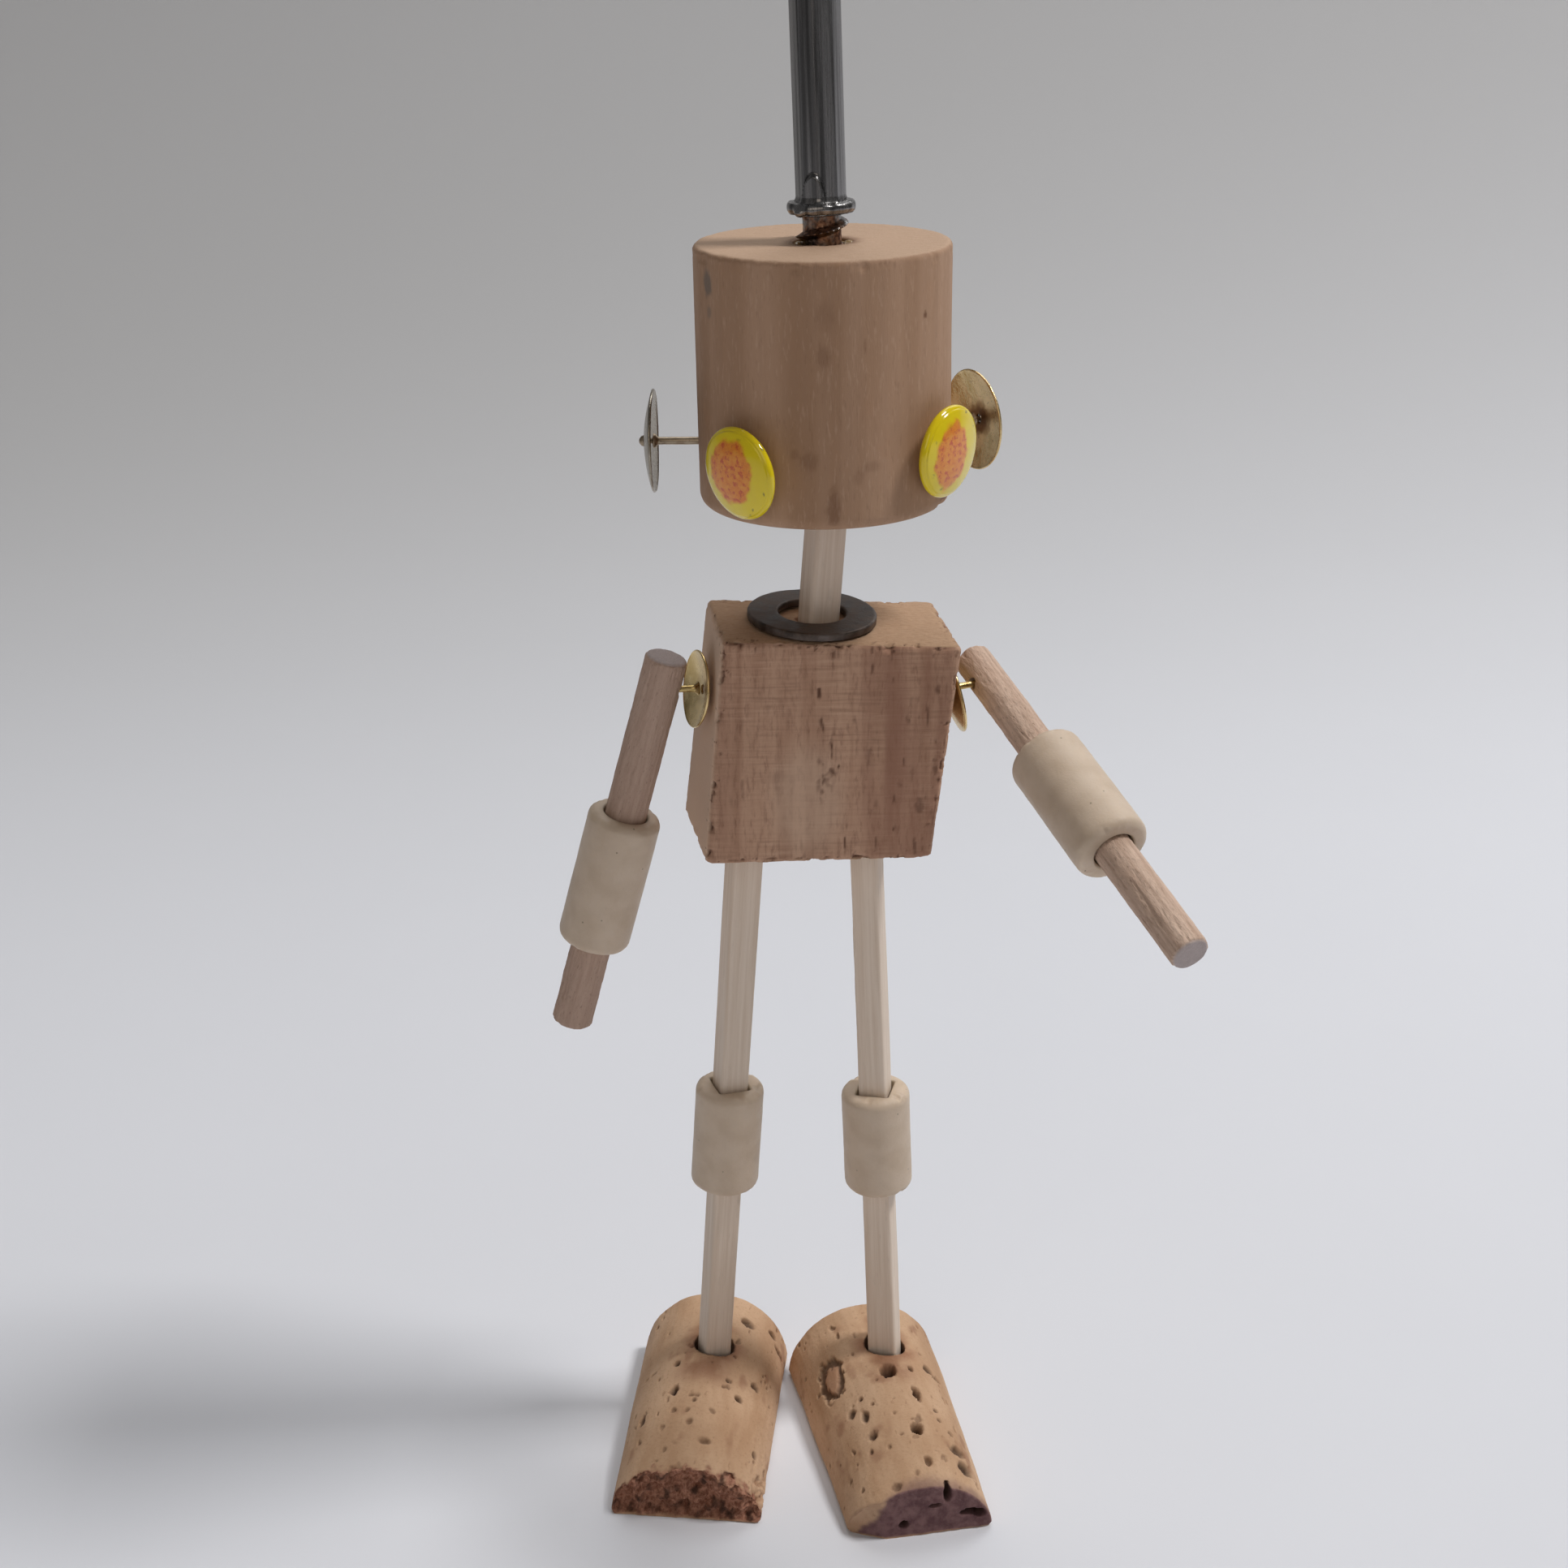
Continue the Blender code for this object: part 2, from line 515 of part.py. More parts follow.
def make_shoulder(side):
    """A tack whose crown is glued to the block's side and whose point carries the arm."""
    centre, normal = SHOULDER_SHELLS[side], SHOULDER_NORMALS[side].normalized()
    depth = SHOULDER_SHELL_DEPTH
    loop = shell_loop(SHOULDER_SHELL_RADIUS, depth)
    solid(side + "_shoulder_shell", *turned_ring(loop, 36), pose(centre, -normal), "brass")
    pin = PIN_LINES[side].normalized()
    hinge = HINGES[side]
    crown = centre - normal * (depth - SHELL_THICK)
    back = (hinge - crown).dot(pin) - GAP
    tip = -SHOULDER_PIN_IN_ARM
    profile = [
        (0.12, tip), (PIN_RADIUS, tip + 1.2), (PIN_RADIUS, back - 0.9), (RIVET_RADIUS, back - 0.55),
        (RIVET_RADIUS - 0.1, back),
    ]
    solid(side + "_shoulder_pin", *turned(profile, 16), pose(hinge, -pin), "pin_steel")


def main():
    clear_scene()
    make_head()
    make_rod()
    make_neck()
    make_washer()
    make_torso()
    for side in ("right", "left"):
        make_eye(side)
        make_ear(side)
        make_leg(side)
        make_knee(side)
        make_foot(side)
        make_arm(side)
        make_shoulder(side)


main()
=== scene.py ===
"""Looks of the craft stick puppet: fine shapes, materials, stage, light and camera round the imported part.

Each piece is built in millimetres in a frame of its own and turned to metres when it is placed.
"right" and "left" are the figure's own sides: it faces -Y, so its right hand is on -X.
"""

import itertools
import json
import math

import bpy
import numpy as np
from mathutils import Matrix, Vector


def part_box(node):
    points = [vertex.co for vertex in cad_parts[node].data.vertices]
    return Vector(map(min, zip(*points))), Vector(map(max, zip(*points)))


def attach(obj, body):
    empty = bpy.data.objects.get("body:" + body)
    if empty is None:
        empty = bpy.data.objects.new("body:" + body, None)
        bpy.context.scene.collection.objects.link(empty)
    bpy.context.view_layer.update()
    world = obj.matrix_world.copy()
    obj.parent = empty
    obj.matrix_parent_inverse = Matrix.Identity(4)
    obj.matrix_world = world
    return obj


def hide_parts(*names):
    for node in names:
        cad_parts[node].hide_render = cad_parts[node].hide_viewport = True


MM = 0.001
SIDES = ("right", "left")

CAMERA_PLACE = (-0.0088, -0.2532, 0.2144)
CAMERA_PITCH, CAMERA_LENS, CAMERA_SENSOR = 22.6, 49.19, 36.0  # degrees down, mm, mm


# ---------------------------------------------------------------- reading the frame


def node_points(node):
    """A CAD node's points in the row frame, in millimetres."""
    mesh = NODES[node].data
    points = np.zeros(len(mesh.vertices) * 3)
    mesh.vertices.foreach_get("co", points)
    return points.reshape(-1, 3) / MM


def flat_face(node, towards):
    """Middle and outward normal of the node's largest flat face that looks the given way, in millimetres."""
    faces = [p for p in NODES[node].data.polygons if p.normal.dot(Vector(towards)) > 0.9]
    widest = max(faces, key=lambda p: p.area)
    level = [p for p in faces if p.normal.dot(widest.normal) > 0.9999]
    area = sum(p.area for p in level)
    middle = sum((p.center * p.area for p in level), Vector()) / area / MM
    return middle, sum((p.normal * p.area for p in level), Vector()).normalized()


def axes(point, up, face=(0, -1, 0)):
    """A frame at a point in millimetres: Z along up, and -Y towards face as far as that allows."""
    up = Vector(up).normalized()
    back = -Vector(face)
    back = (back - back.dot(up) * up).normalized()
    turn = Matrix((back.cross(up), back, up)).transposed().to_4x4()
    turn.translation = Vector(point)
    return turn


def turned_axes(node, towards, flat=False):
    """Frame of a turned node with its origin at the low end, and its radius and length in millimetres."""
    points = node_points(node)
    middle = points.mean(0)
    _, lines = np.linalg.eigh(np.cov((points - middle).T))
    line = lines[:, 0 if flat else 2]
    line = line * np.sign(line @ np.array(towards, float))
    along = (points - middle) @ line
    off = np.linalg.norm(points - middle - np.outer(along, line), axis=1)
    face = (0, 0, 1) if abs(line[2]) < 0.7 else (0, -1, 0)
    return axes(middle + line * along.min(), line, face), off.max(), float(np.ptp(along))


# ---------------------------------------------------------------- noise for shapes


def lattice(points, seed):
    """Smooth noise from -1 to 1 at points counted in cells."""
    cell = np.floor(points).astype(np.int64)
    share = points - cell
    share = share * share * (3 - 2 * share)
    total = np.zeros(len(points))
    for corner in itertools.product((0, 1), repeat=3):
        key = (cell + corner) @ np.array([73856093, 19349663, 83492791]) + seed * 2654435761
        key = (key ^ (key >> 13)) * 1274126177 & 0xFFFFFFFF
        key = (key ^ (key >> 16)) & 0xFFFF
        near = np.prod(np.where(np.array(corner) == 1, share, 1 - share), axis=1)
        total += near * (key / 32767.5 - 1)
    return total


def fractal(points, cells, seed, octaves=3):
    """Noise of several sizes; cells is how many fit in a millimetre, one number or one for each axis."""
    at = points * np.array(cells, float)
    total, weight, whole = 0.0, 1.0, 0.0
    for k in range(octaves):
        total = total + weight * lattice(at * 2**k, seed + k)
        whole += weight
        weight *= 0.55
    return total / whole


def ease(low, high, value):
    """0 below low, 1 above high and smooth between; it falls if low is above high."""
    share = np.clip((value - low) / (high - low), 0, 1)
    return share * share * (3 - 2 * share)


# ---------------------------------------------------------------- meshes


def link(name, mesh, frame, body, slot, stands_for=(), look=None):
    """Turns a mesh in millimetres of a frame into a piece that rides on a body.

    look names another material than the slot's own.
    """
    obj = bpy.data.objects.new(name, mesh)
    bpy.context.scene.collection.objects.link(obj)
    mesh.transform(Matrix.Scale(MM, 4))
    place = frame.copy()
    place.translation = frame.translation * MM
    obj.matrix_world = place
    mesh.materials.clear()
    mesh.materials.append(MATERIALS[look or slot])
    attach(obj, body)
    if stands_for:
        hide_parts(*stands_for)
    return obj


def fine_mesh(node, frame, cell):
    """The node's shape as an even fine mesh, in millimetres of the frame."""
    mesh = NODES[node].data.copy()
    mesh.transform(frame.inverted() @ Matrix.Scale(1 / MM, 4))
    helper = bpy.data.objects.new("helper", mesh)
    bpy.context.scene.collection.objects.link(helper)
    remesh = helper.modifiers.new("even", "REMESH")
    remesh.mode = "VOXEL"
    remesh.voxel_size = cell
    graph = bpy.context.evaluated_depsgraph_get()
    fine = bpy.data.meshes.new_from_object(helper.evaluated_get(graph))
    bpy.data.objects.remove(helper)
    fine.shade_smooth()
    return fine


def read(mesh):
    points = np.zeros(len(mesh.vertices) * 3)
    normals = np.zeros(len(mesh.vertices) * 3)
    mesh.vertices.foreach_get("co", points)
    mesh.vertices.foreach_get("normal", normals)
    return points.reshape(-1, 3), normals.reshape(-1, 3)


def move(mesh, points):
    mesh.vertices.foreach_set("co", np.ascontiguousarray(points, dtype=np.float32).ravel())
    mesh.update()


def mark(mesh, name, values):
    """Keeps a value from 0 to 1 at each point, for the material to read."""
    layer = mesh.attributes.new(name, "FLOAT", "POINT")
    layer.data.foreach_set("value", np.clip(values, 0, 1).astype(np.float32))


def mesh_from(name, verts, faces, sharp=None):
    mesh = bpy.data.meshes.new(name)
    mesh.from_pydata([tuple(v) for v in verts], [], faces)
    mesh.shade_smooth()
    if sharp:
        mesh.set_sharp_from_angle(angle=math.radians(sharp))
    return mesh


def dense(line, step, closed=False):
    """The same outline with points no further apart than step."""
    ends = list(line) + ([line[0]] if closed else [])
    points = []
    for a, b in itertools.pairwise(ends):
        count = max(1, math.ceil(math.dist(a, b) / step))
        points += [tuple(np.array(a) + (np.array(b) - np.array(a)) * k / count) for k in range(count)]
    return points if closed else points + [tuple(ends[-1])]


def arc(centre, radius, start, stop, count=6):
    """Points on an arc in an outline's plane, angles in degrees."""
    return [
        (centre[0] + radius * math.cos(math.radians(a)), centre[1] + radius * math.sin(math.radians(a)))
        for a in np.linspace(start, stop, count)
    ]


def lathe(outline, segments, ring=False):
    """A turned solid from (radius, height) pairs, closed at both ends, or a ring round a closed section."""
    count = len(outline)
    verts = [
        (r * math.cos(a), r * math.sin(a), z)
        for a in np.linspace(0, 2 * math.pi, segments, endpoint=False)
        for r, z in outline
    ]
    faces = []
    for s in range(segments):
        a, b = s * count, ((s + 1) % segments) * count
        for i in range(count if ring else count - 1):
            j = (i + 1) % count
            faces.append((a + i, b + i, b + j, a + j))
    if not ring:
        faces.append(tuple(s * count for s in reversed(range(segments))))
        faces.append(tuple(s * count + count - 1 for s in range(segments)))
    return verts, faces


# ---------------------------------------------------------------- materials


class Shade:
    """A Principled material with short calls for the nodes in front of it."""

    def __init__(self, name, **settings):
        self.material = bpy.data.materials.new(name)
        self.material.use_nodes = True
        self.tree = self.material.node_tree
        self.shader = self.tree.nodes["Principled BSDF"]
        for socket, value in settings.items():
            self.shader.inputs[socket.replace("_", " ")].default_value = value
        place = self.tree.nodes.new("ShaderNodeTexCoord").outputs["Object"]
        self.mm = self.scaled(place, 1 / MM)

    def node(self, kind, **inputs):
        made = self.tree.nodes.new("ShaderNode" + kind)
        for name, value in inputs.items():
            self.plug(made.inputs[name], value)
        return made

    def plug(self, socket, value):
        if isinstance(value, bpy.types.NodeSocket):
            self.tree.links.new(value, socket)
        elif isinstance(value, tuple) and len(value) == 3 and socket.type == "RGBA":
            socket.default_value = (*value, 1.0)
        else:
            socket.default_value = value

    def scaled(self, place, factors):
        """A place multiplied by one number, or by one for each axis."""
        if isinstance(factors, (int, float)):
            factors = (factors, factors, factors)
        made = self.tree.nodes.new("ShaderNodeVectorMath")
        made.operation = "MULTIPLY"
        self.plug(made.inputs[0], place)
        self.plug(made.inputs[1], factors)
        return made.outputs["Vector"]

    def math(self, operation, a, b=0.0):
        made = self.tree.nodes.new("ShaderNodeMath")
        made.operation = operation
        self.plug(made.inputs[0], a)
        self.plug(made.inputs[1], b)
        return made.outputs[0]

    def noise(self, cells, detail=3.0, rough=0.55, bend=0.0):
        """Noise from 0 to 1; cells is how many fit in a millimetre along each axis."""
        at = self.scaled(self.mm, cells)
        made = self.node("TexNoise", Vector=at, Scale=1.0, Detail=detail, Roughness=rough, Distortion=bend)
        return made.outputs["Fac"]

    def cells(self, cells):
        """Distance to the nearest of scattered points."""
        made = self.node("TexVoronoi", Vector=self.scaled(self.mm, cells), Scale=1.0)
        return made.outputs["Distance"]

    def step(self, value, low, high, start=0.0, end=1.0):
        """A value eased from start to end as another goes from low to high."""
        made = self.node("MapRange", Value=value)
        made.interpolation_type = "SMOOTHSTEP"
        for name, number in (("From Min", low), ("From Max", high), ("To Min", start), ("To Max", end)):
            made.inputs[name].default_value = number
        return made.outputs["Result"]

    def mix(self, share, a, b):
        made = self.tree.nodes.new("ShaderNodeMix")
        made.data_type = "RGBA"
        self.plug(made.inputs[0], share)
        self.plug(made.inputs[6], a)
        self.plug(made.inputs[7], b)
        return made.outputs[2]

    def marked(self, name):
        """A value kept in the mesh by mark()."""
        made = self.tree.nodes.new("ShaderNodeAttribute")
        made.attribute_name = name
        return made.outputs["Fac"]

    def parts(self):
        """The X, Y and Z of the place in millimetres."""
        return self.node("SeparateXYZ", Vector=self.mm).outputs

    def finish(self, colour, rough, relief, depth):
        """Joins colour, roughness and a height with its depth in millimetres to the shader."""
        self.plug(self.shader.inputs["Base Color"], colour)
        self.plug(self.shader.inputs["Roughness"], rough)
        bump = self.node("Bump", Strength=1.0, Distance=depth * MM, Height=relief)
        self.plug(self.shader.inputs["Normal"], bump.outputs["Normal"])
        return self.material


def turned_wood():
    s = Shade("turned_wood", Roughness=0.72, Specular_IOR_Level=0.3)
    broad = s.noise((0.16, 0.16, 0.010), 3, 0.5, 0.3)
    grain = s.noise((1.3, 1.3, 0.05), 4, 0.6)
    fine = s.noise((7.0, 7.0, 0.9), 2, 0.6)
    tone = s.mix(s.step(broad, 0.3, 0.7), (0.375, 0.222, 0.132), (0.475, 0.300, 0.196))
    tone = s.mix(s.step(grain, 0.35, 0.75, 0.0, 0.16), tone, (0.33, 0.205, 0.140))
    pores = s.step(s.noise((3.2, 3.2, 0.6), 2, 0.6), 0.58, 0.74, 0.0, 0.30)
    tone = s.mix(pores, tone, (0.25, 0.140, 0.085))
    pale = s.step(s.noise((2.8, 2.8, 0.5), 2, 0.6), 0.44, 0.30, 0.0, 0.25)
    tone = s.mix(pale, tone, (0.62, 0.43, 0.31))
    tone = s.mix(s.step(s.noise(0.25, 2), 0.60, 0.8, 0.0, 0.25), tone, (0.45, 0.25, 0.14))
    tone = s.mix(s.marked("end"), tone, s.mix(s.noise(3.0, 4), (0.46, 0.300, 0.195), (0.58, 0.405, 0.285)))
    tone = s.mix(s.marked("stain"), tone, (0.16, 0.070, 0.035))
    tone = s.mix(s.marked("grey"), tone, (0.16, 0.135, 0.115))
    height = s.math("ADD", s.math("MULTIPLY", grain, 0.5), s.math("MULTIPLY", fine, 0.5))
    return s.finish(tone, s.step(fine, 0.3, 0.7, 0.66, 0.82), height, 0.06)


def sawn_wood():
    s = Shade("sawn_wood", Roughness=0.85, Specular_IOR_Level=0.22)
    streak = s.noise((0.45, 0.3, 0.02), 4, 0.6, 0.3)
    fibre = s.noise((1.9, 1.2, 0.40), 5, 0.68, 0.15)
    cross = s.noise((0.10, 0.10, 2.1), 3, 0.6, 0.1)
    patch = s.step(s.noise((0.16, 0.16, 0.12), 2), 0.38, 0.62, 0.35, 1.0)
    tone = s.mix(s.step(streak, 0.32, 0.68), (0.430, 0.250, 0.165), (0.560, 0.350, 0.240))
    tone = s.mix(s.step(fibre, 0.46, 0.74, 0.0, 0.60), tone, (0.240, 0.125, 0.082))
    dark = s.math("MULTIPLY", s.step(cross, 0.50, 0.66, 0.0, 0.34), patch)
    tone = s.mix(dark, tone, (0.240, 0.135, 0.090))
    light = s.math("MULTIPLY", s.step(cross, 0.48, 0.34, 0.0, 0.26), patch)
    tone = s.mix(light, tone, (0.68, 0.46, 0.33))
    tone = s.mix(s.marked("warm"), tone, (0.330, 0.170, 0.115))
    # the pale mark: a real paler patch on the front, and painted light on the side face turned to the figure's
    # right
    tone = s.mix(s.marked("pale"), tone, (0.66, 0.47, 0.345))
    end = s.mix(s.noise((1.2, 4.0, 1.0), 4, 0.6), (0.36, 0.220, 0.130), (0.60, 0.41, 0.275))
    tone = s.mix(s.marked("end"), tone, end)
    tone = s.mix(s.marked("pit"), tone, (0.095, 0.040, 0.026))
    height = s.math("ADD", s.math("MULTIPLY", fibre, 0.8), s.math("MULTIPLY", cross, 0.4))
    return s.finish(tone, s.step(fibre, 0.3, 0.7, 0.8, 0.95), height, 0.14)


def stick_wood():
    s = Shade("stick_wood", Roughness=0.6, Specular_IOR_Level=0.35)
    grain = s.noise((1.8, 1.8, 0.04), 4, 0.6)
    fine = s.noise((9.0, 9.0, 0.5), 2, 0.6)
    tone = s.mix(s.step(grain, 0.3, 0.7), (0.74, 0.605, 0.485), (0.84, 0.715, 0.60))
    tone = s.mix(s.step(s.noise((1.0, 1.0, 0.22), 3), 0.62, 0.78, 0.0, 0.22), tone, (0.42, 0.36, 0.29))
    tone = s.mix(s.step(s.noise((6.0, 6.0, 0.3), 2), 0.66, 0.78, 0.0, 0.3), tone, (0.46, 0.39, 0.30))
    return s.finish(tone, s.step(fine, 0.3, 0.7, 0.55, 0.72), s.math("ADD", grain, fine), 0.03)


def dowel_wood():
    s = Shade("dowel_wood", Roughness=0.85, Specular_IOR_Level=0.25)
    grain = s.noise((1.5, 1.5, 0.07), 4, 0.6, 0.2)
    flake = s.noise((2.6, 2.6, 0.8), 4, 0.7, 0.5)
    tone = s.mix(s.step(grain, 0.3, 0.7), (0.55, 0.385, 0.29), (0.74, 0.555, 0.435))
    tone = s.mix(s.step(flake, 0.5, 0.75, 0.0, 0.55), tone, (0.30, 0.21, 0.165))
    # a darker copy of the dowel's colour, taken where the mesh is marked
    tone = s.mix(s.marked("darker_copy"), tone, s.mix(grain, (0.38, 0.250, 0.188), (0.60, 0.435, 0.350)))
    tone = s.mix(s.step(s.noise((5.0, 5.0, 1.2), 2), 0.62, 0.74, 0.0, 0.5), tone, (0.17, 0.11, 0.085))
    tone = s.mix(s.marked("end"), tone, s.mix(s.noise(4.0, 3), (0.42, 0.35, 0.34), (0.60, 0.52, 0.50)))
    return s.finish(tone, s.step(flake, 0.3, 0.7, 0.78, 0.95), flake, 0.16)


def tube_plastic():
    s = Shade("tube_plastic", Roughness=0.5, Specular_IOR_Level=0.4)
    s.shader.inputs["Subsurface Weight"].default_value = 0.12
    s.shader.inputs["Subsurface Radius"].default_value = (0.6, 0.45, 0.25)
    s.shader.inputs["Subsurface Scale"].default_value = MM
    cloud = s.noise(0.25, 3)
    tone = s.mix(s.step(cloud, 0.3, 0.7), (0.60, 0.472, 0.352), (0.67, 0.542, 0.42))
    tone = s.mix(s.step(s.cells(0.42), 0.075, 0.03, 0.0, 0.75), tone, (0.24, 0.20, 0.13))
    tone = s.mix(s.step(s.cells(0.95), 0.07, 0.03, 0.0, 0.4), tone, (0.36, 0.31, 0.22))
    # painted shade on the bore's wall and inner lip
    tone = s.mix(s.marked("bore_shade"), tone, (0.37, 0.32, 0.235))
    fine = s.noise(3.0, 3, 0.6)
    return s.finish(tone, s.step(fine, 0.3, 0.7, 0.42, 0.6), fine, 0.03)


def brass():
    s = Shade("brass", Metallic=1.0, Roughness=0.22)
    cloud = s.noise(0.35, 4, 0.6)
    tone = s.mix(s.step(cloud, 0.3, 0.7), (0.56, 0.40, 0.165), (0.86, 0.67, 0.35))
    tone = s.mix(s.step(s.noise(1.6, 4, 0.7), 0.6, 0.75, 0.0, 0.5), tone, (0.30, 0.22, 0.10))
    # rust and painted shade: the dish's hollow centre is darkened
    tone = s.mix(s.marked("rust_and_shade"), tone, (0.20, 0.105, 0.035))
    scratch = s.noise((2.0, 14.0, 2.0), 2, 0.6)
    return s.finish(tone, s.step(cloud, 0.3, 0.7, 0.16, 0.34), scratch, 0.008)


def ear_brass():
    s = Shade("ear_brass", Metallic=1.0, Roughness=0.26)
    cloud = s.noise(0.45, 4, 0.65)
    tone = s.mix(s.step(cloud, 0.3, 0.7), (0.52, 0.365, 0.150), (0.84, 0.65, 0.36))
    tone = s.mix(s.step(s.noise(1.8, 4, 0.7), 0.56, 0.70, 0.0, 0.55), tone, (0.16, 0.105, 0.05))
    tone = s.mix(s.marked("dull"), tone, s.mix(cloud, (0.16, 0.145, 0.125), (0.42, 0.40, 0.37)))
    # rust and painted shade: the dish's hollow centre is darkened
    tone = s.mix(s.marked("rust_and_shade"), tone, (0.20, 0.085, 0.025))
    rough = s.math("ADD", s.step(cloud, 0.3, 0.7, 0.18, 0.36), s.math("MULTIPLY", s.marked("rust_and_shade"), 0.3))
    return s.finish(tone, rough, s.noise(1.4, 4, 0.6), 0.07)


def pin_steel():
    s = Shade("pin_steel", Metallic=1.0, Roughness=0.35)
    cloud = s.noise((2.0, 2.0, 0.5), 4, 0.6)
    tone = s.mix(s.step(cloud, 0.3, 0.7), (0.26, 0.195, 0.130), (0.50, 0.41, 0.30))
    tone = s.mix(s.step(s.noise(3.0, 3, 0.7), 0.58, 0.7, 0.0, 0.7), tone, (0.12, 0.055, 0.025))
    return s.finish(tone, s.step(cloud, 0.3, 0.7, 0.3, 0.5), cloud, 0.02)


def gold_pin():
    s = Shade("gold_pin", Metallic=1.0, Roughness=0.3)
    cloud = s.noise((2.5, 2.5, 0.8), 4, 0.6)
    tone = s.mix(s.step(cloud, 0.3, 0.7), (0.42, 0.285, 0.10), (0.72, 0.56, 0.27))
    return s.finish(tone, s.step(cloud, 0.3, 0.7, 0.22, 0.42), cloud, 0.02)


def yellow_enamel():
    s = Shade("yellow_enamel", Roughness=0.12, Specular_IOR_Level=0.5)
    s.shader.inputs["Coat Weight"].default_value = 0.4
    s.shader.inputs["Coat Roughness"].default_value = 0.06
    worn = s.marked("worn")
    flecks = s.noise(1.6, 5, 0.7, 0.4)
    yellow = s.mix(s.noise(0.4, 2), (0.80, 0.60, 0.004), (0.88, 0.70, 0.006))
    orange = s.mix(s.step(flecks, 0.35, 0.65), (0.80, 0.225, 0.012), (0.86, 0.335, 0.03))
    orange = s.mix(s.step(s.noise(1.1, 4, 0.7), 0.50, 0.60, 0.0, 0.9), orange, (0.62, 0.075, 0.012))
    orange = s.mix(s.step(s.noise(2.4, 3, 0.7), 0.66, 0.74, 0.0, 0.6), orange, (0.25, 0.11, 0.04))
    tone = s.mix(worn, yellow, orange)
    tone = s.mix(s.marked("chip"), tone, (0.035, 0.028, 0.01))
    rough = s.step(worn, 0.0, 1.0, 0.10, 0.30)
    return s.finish(tone, rough, s.math("MULTIPLY", flecks, worn), 0.03)


def washer_steel():
    s = Shade("washer_steel", Metallic=0.55, Roughness=0.45)
    cloud = s.noise(0.6, 4, 0.6)
    tone = s.mix(s.step(cloud, 0.3, 0.7), (0.045, 0.032, 0.025), (0.120, 0.090, 0.072))
    tone = s.mix(s.step(s.noise(2.0, 4, 0.7), 0.58, 0.72, 0.0, 0.6), tone, (0.19, 0.13, 0.10))
    tone = s.mix(s.marked("edge"), tone, (0.17, 0.14, 0.125))
    return s.finish(tone, s.step(cloud, 0.3, 0.7, 0.34, 0.6), s.noise(3.5, 4, 0.6), 0.04)


def rod_steel():
    s = Shade("rod_steel", Metallic=1.0, Roughness=0.24)
    streak = s.noise((0.9, 0.9, 0.012), 3, 0.6)
    fine = s.noise((8.0, 8.0, 0.1), 3, 0.6)
    tone = s.mix(s.step(streak, 0.35, 0.65), (0.115, 0.112, 0.110), (0.33, 0.32, 0.315))
    tone = s.mix(s.step(s.noise(0.9, 4, 0.7), 0.62, 0.75, 0.0, 0.45), tone, (0.16, 0.15, 0.14))
    rust_and_shade = s.mix(s.step(s.noise(1.6, 4), 0.35, 0.65), (0.09, 0.045, 0.03), (0.40, 0.24, 0.16))
    tone = s.mix(s.marked("rust_and_shade"), tone, rust_and_shade)
    rough = s.math("ADD", s.step(fine, 0.3, 0.7, 0.17, 0.3), s.math("MULTIPLY", s.marked("rust_and_shade"), 0.25))
    return s.finish(tone, rough, fine, 0.012)


def cork():
    s = Shade("cork", Roughness=0.8, Specular_IOR_Level=0.25)
    cloud = s.noise((0.16, 0.06, 0.16), 4, 0.55, 0.3)
    fine = s.noise(2.4, 4, 0.65)
    tone = s.mix(s.step(cloud, 0.3, 0.7), (0.495, 0.300, 0.175), (0.64, 0.425, 0.272))
    tone = s.mix(s.step(fine, 0.5, 0.75, 0.0, 0.35), tone, (0.37, 0.215, 0.12))
    tone = s.mix(s.step(s.noise((1.1, 0.5, 1.1), 3, 0.6), 0.62, 0.74, 0.0, 0.5), tone, (0.34, 0.185, 0.10))
    tone = s.mix(s.marked("stain"), tone, (0.25, 0.098, 0.052))
    torn = s.mix(s.step(s.noise(1.5, 4, 0.7), 0.3, 0.7), (0.190, 0.072, 0.040), (0.500, 0.250, 0.165))
    tone = s.mix(s.marked("torn"), tone, torn)
    wine = s.mix(s.step(s.noise(0.7, 4, 0.6), 0.3, 0.7), (0.120, 0.058, 0.062), (0.225, 0.125, 0.122))
    tone = s.mix(s.marked("wine"), tone, wine)
    # pits and cracks, and painted shade in the gap round each leg
    tone = s.mix(s.marked("pit"), tone, (0.035, 0.016, 0.010))
    return s.finish(tone, s.step(fine, 0.3, 0.7, 0.72, 0.9), fine, 0.06)


def glue():
    s = Shade("glue", Roughness=0.18, IOR=1.5)
    s.shader.inputs["Transmission Weight"].default_value = 0.35
    cloud = s.noise(1.2, 4, 0.6)
    tone = s.mix(s.step(cloud, 0.3, 0.7), (0.30, 0.16, 0.05), (0.62, 0.42, 0.17))
    return s.finish(tone, s.step(cloud, 0.3, 0.7, 0.12, 0.3), cloud, 0.04)


def paper():
    s = Shade("paper", Roughness=0.9, Specular_IOR_Level=0.15)
    tone = s.mix(s.noise(0.02, 3), PAPER_DARK, PAPER_LIGHT)
    x, y, _ = s.parts()
    # painted shade: the sheet darkens further back and up its sweep, starting later on the right
    shade = s.step(s.math("SUBTRACT", y, s.math("MULTIPLY", x, 0.30)), 110.0, 640.0)
    tone = s.mix(shade, tone, PAPER_PAINTED_SHADE)
    return s.finish(tone, 0.9, s.noise(1.5, 3, 0.6), 0.01)


PAPER_DARK, PAPER_LIGHT = (0.770, 0.782, 0.825), (0.788, 0.800, 0.843)
PAPER_PAINTED_SHADE = (0.52, 0.518, 0.520)  # painted shade: the sheet is darkened further back and up its sweep, starting later on the right
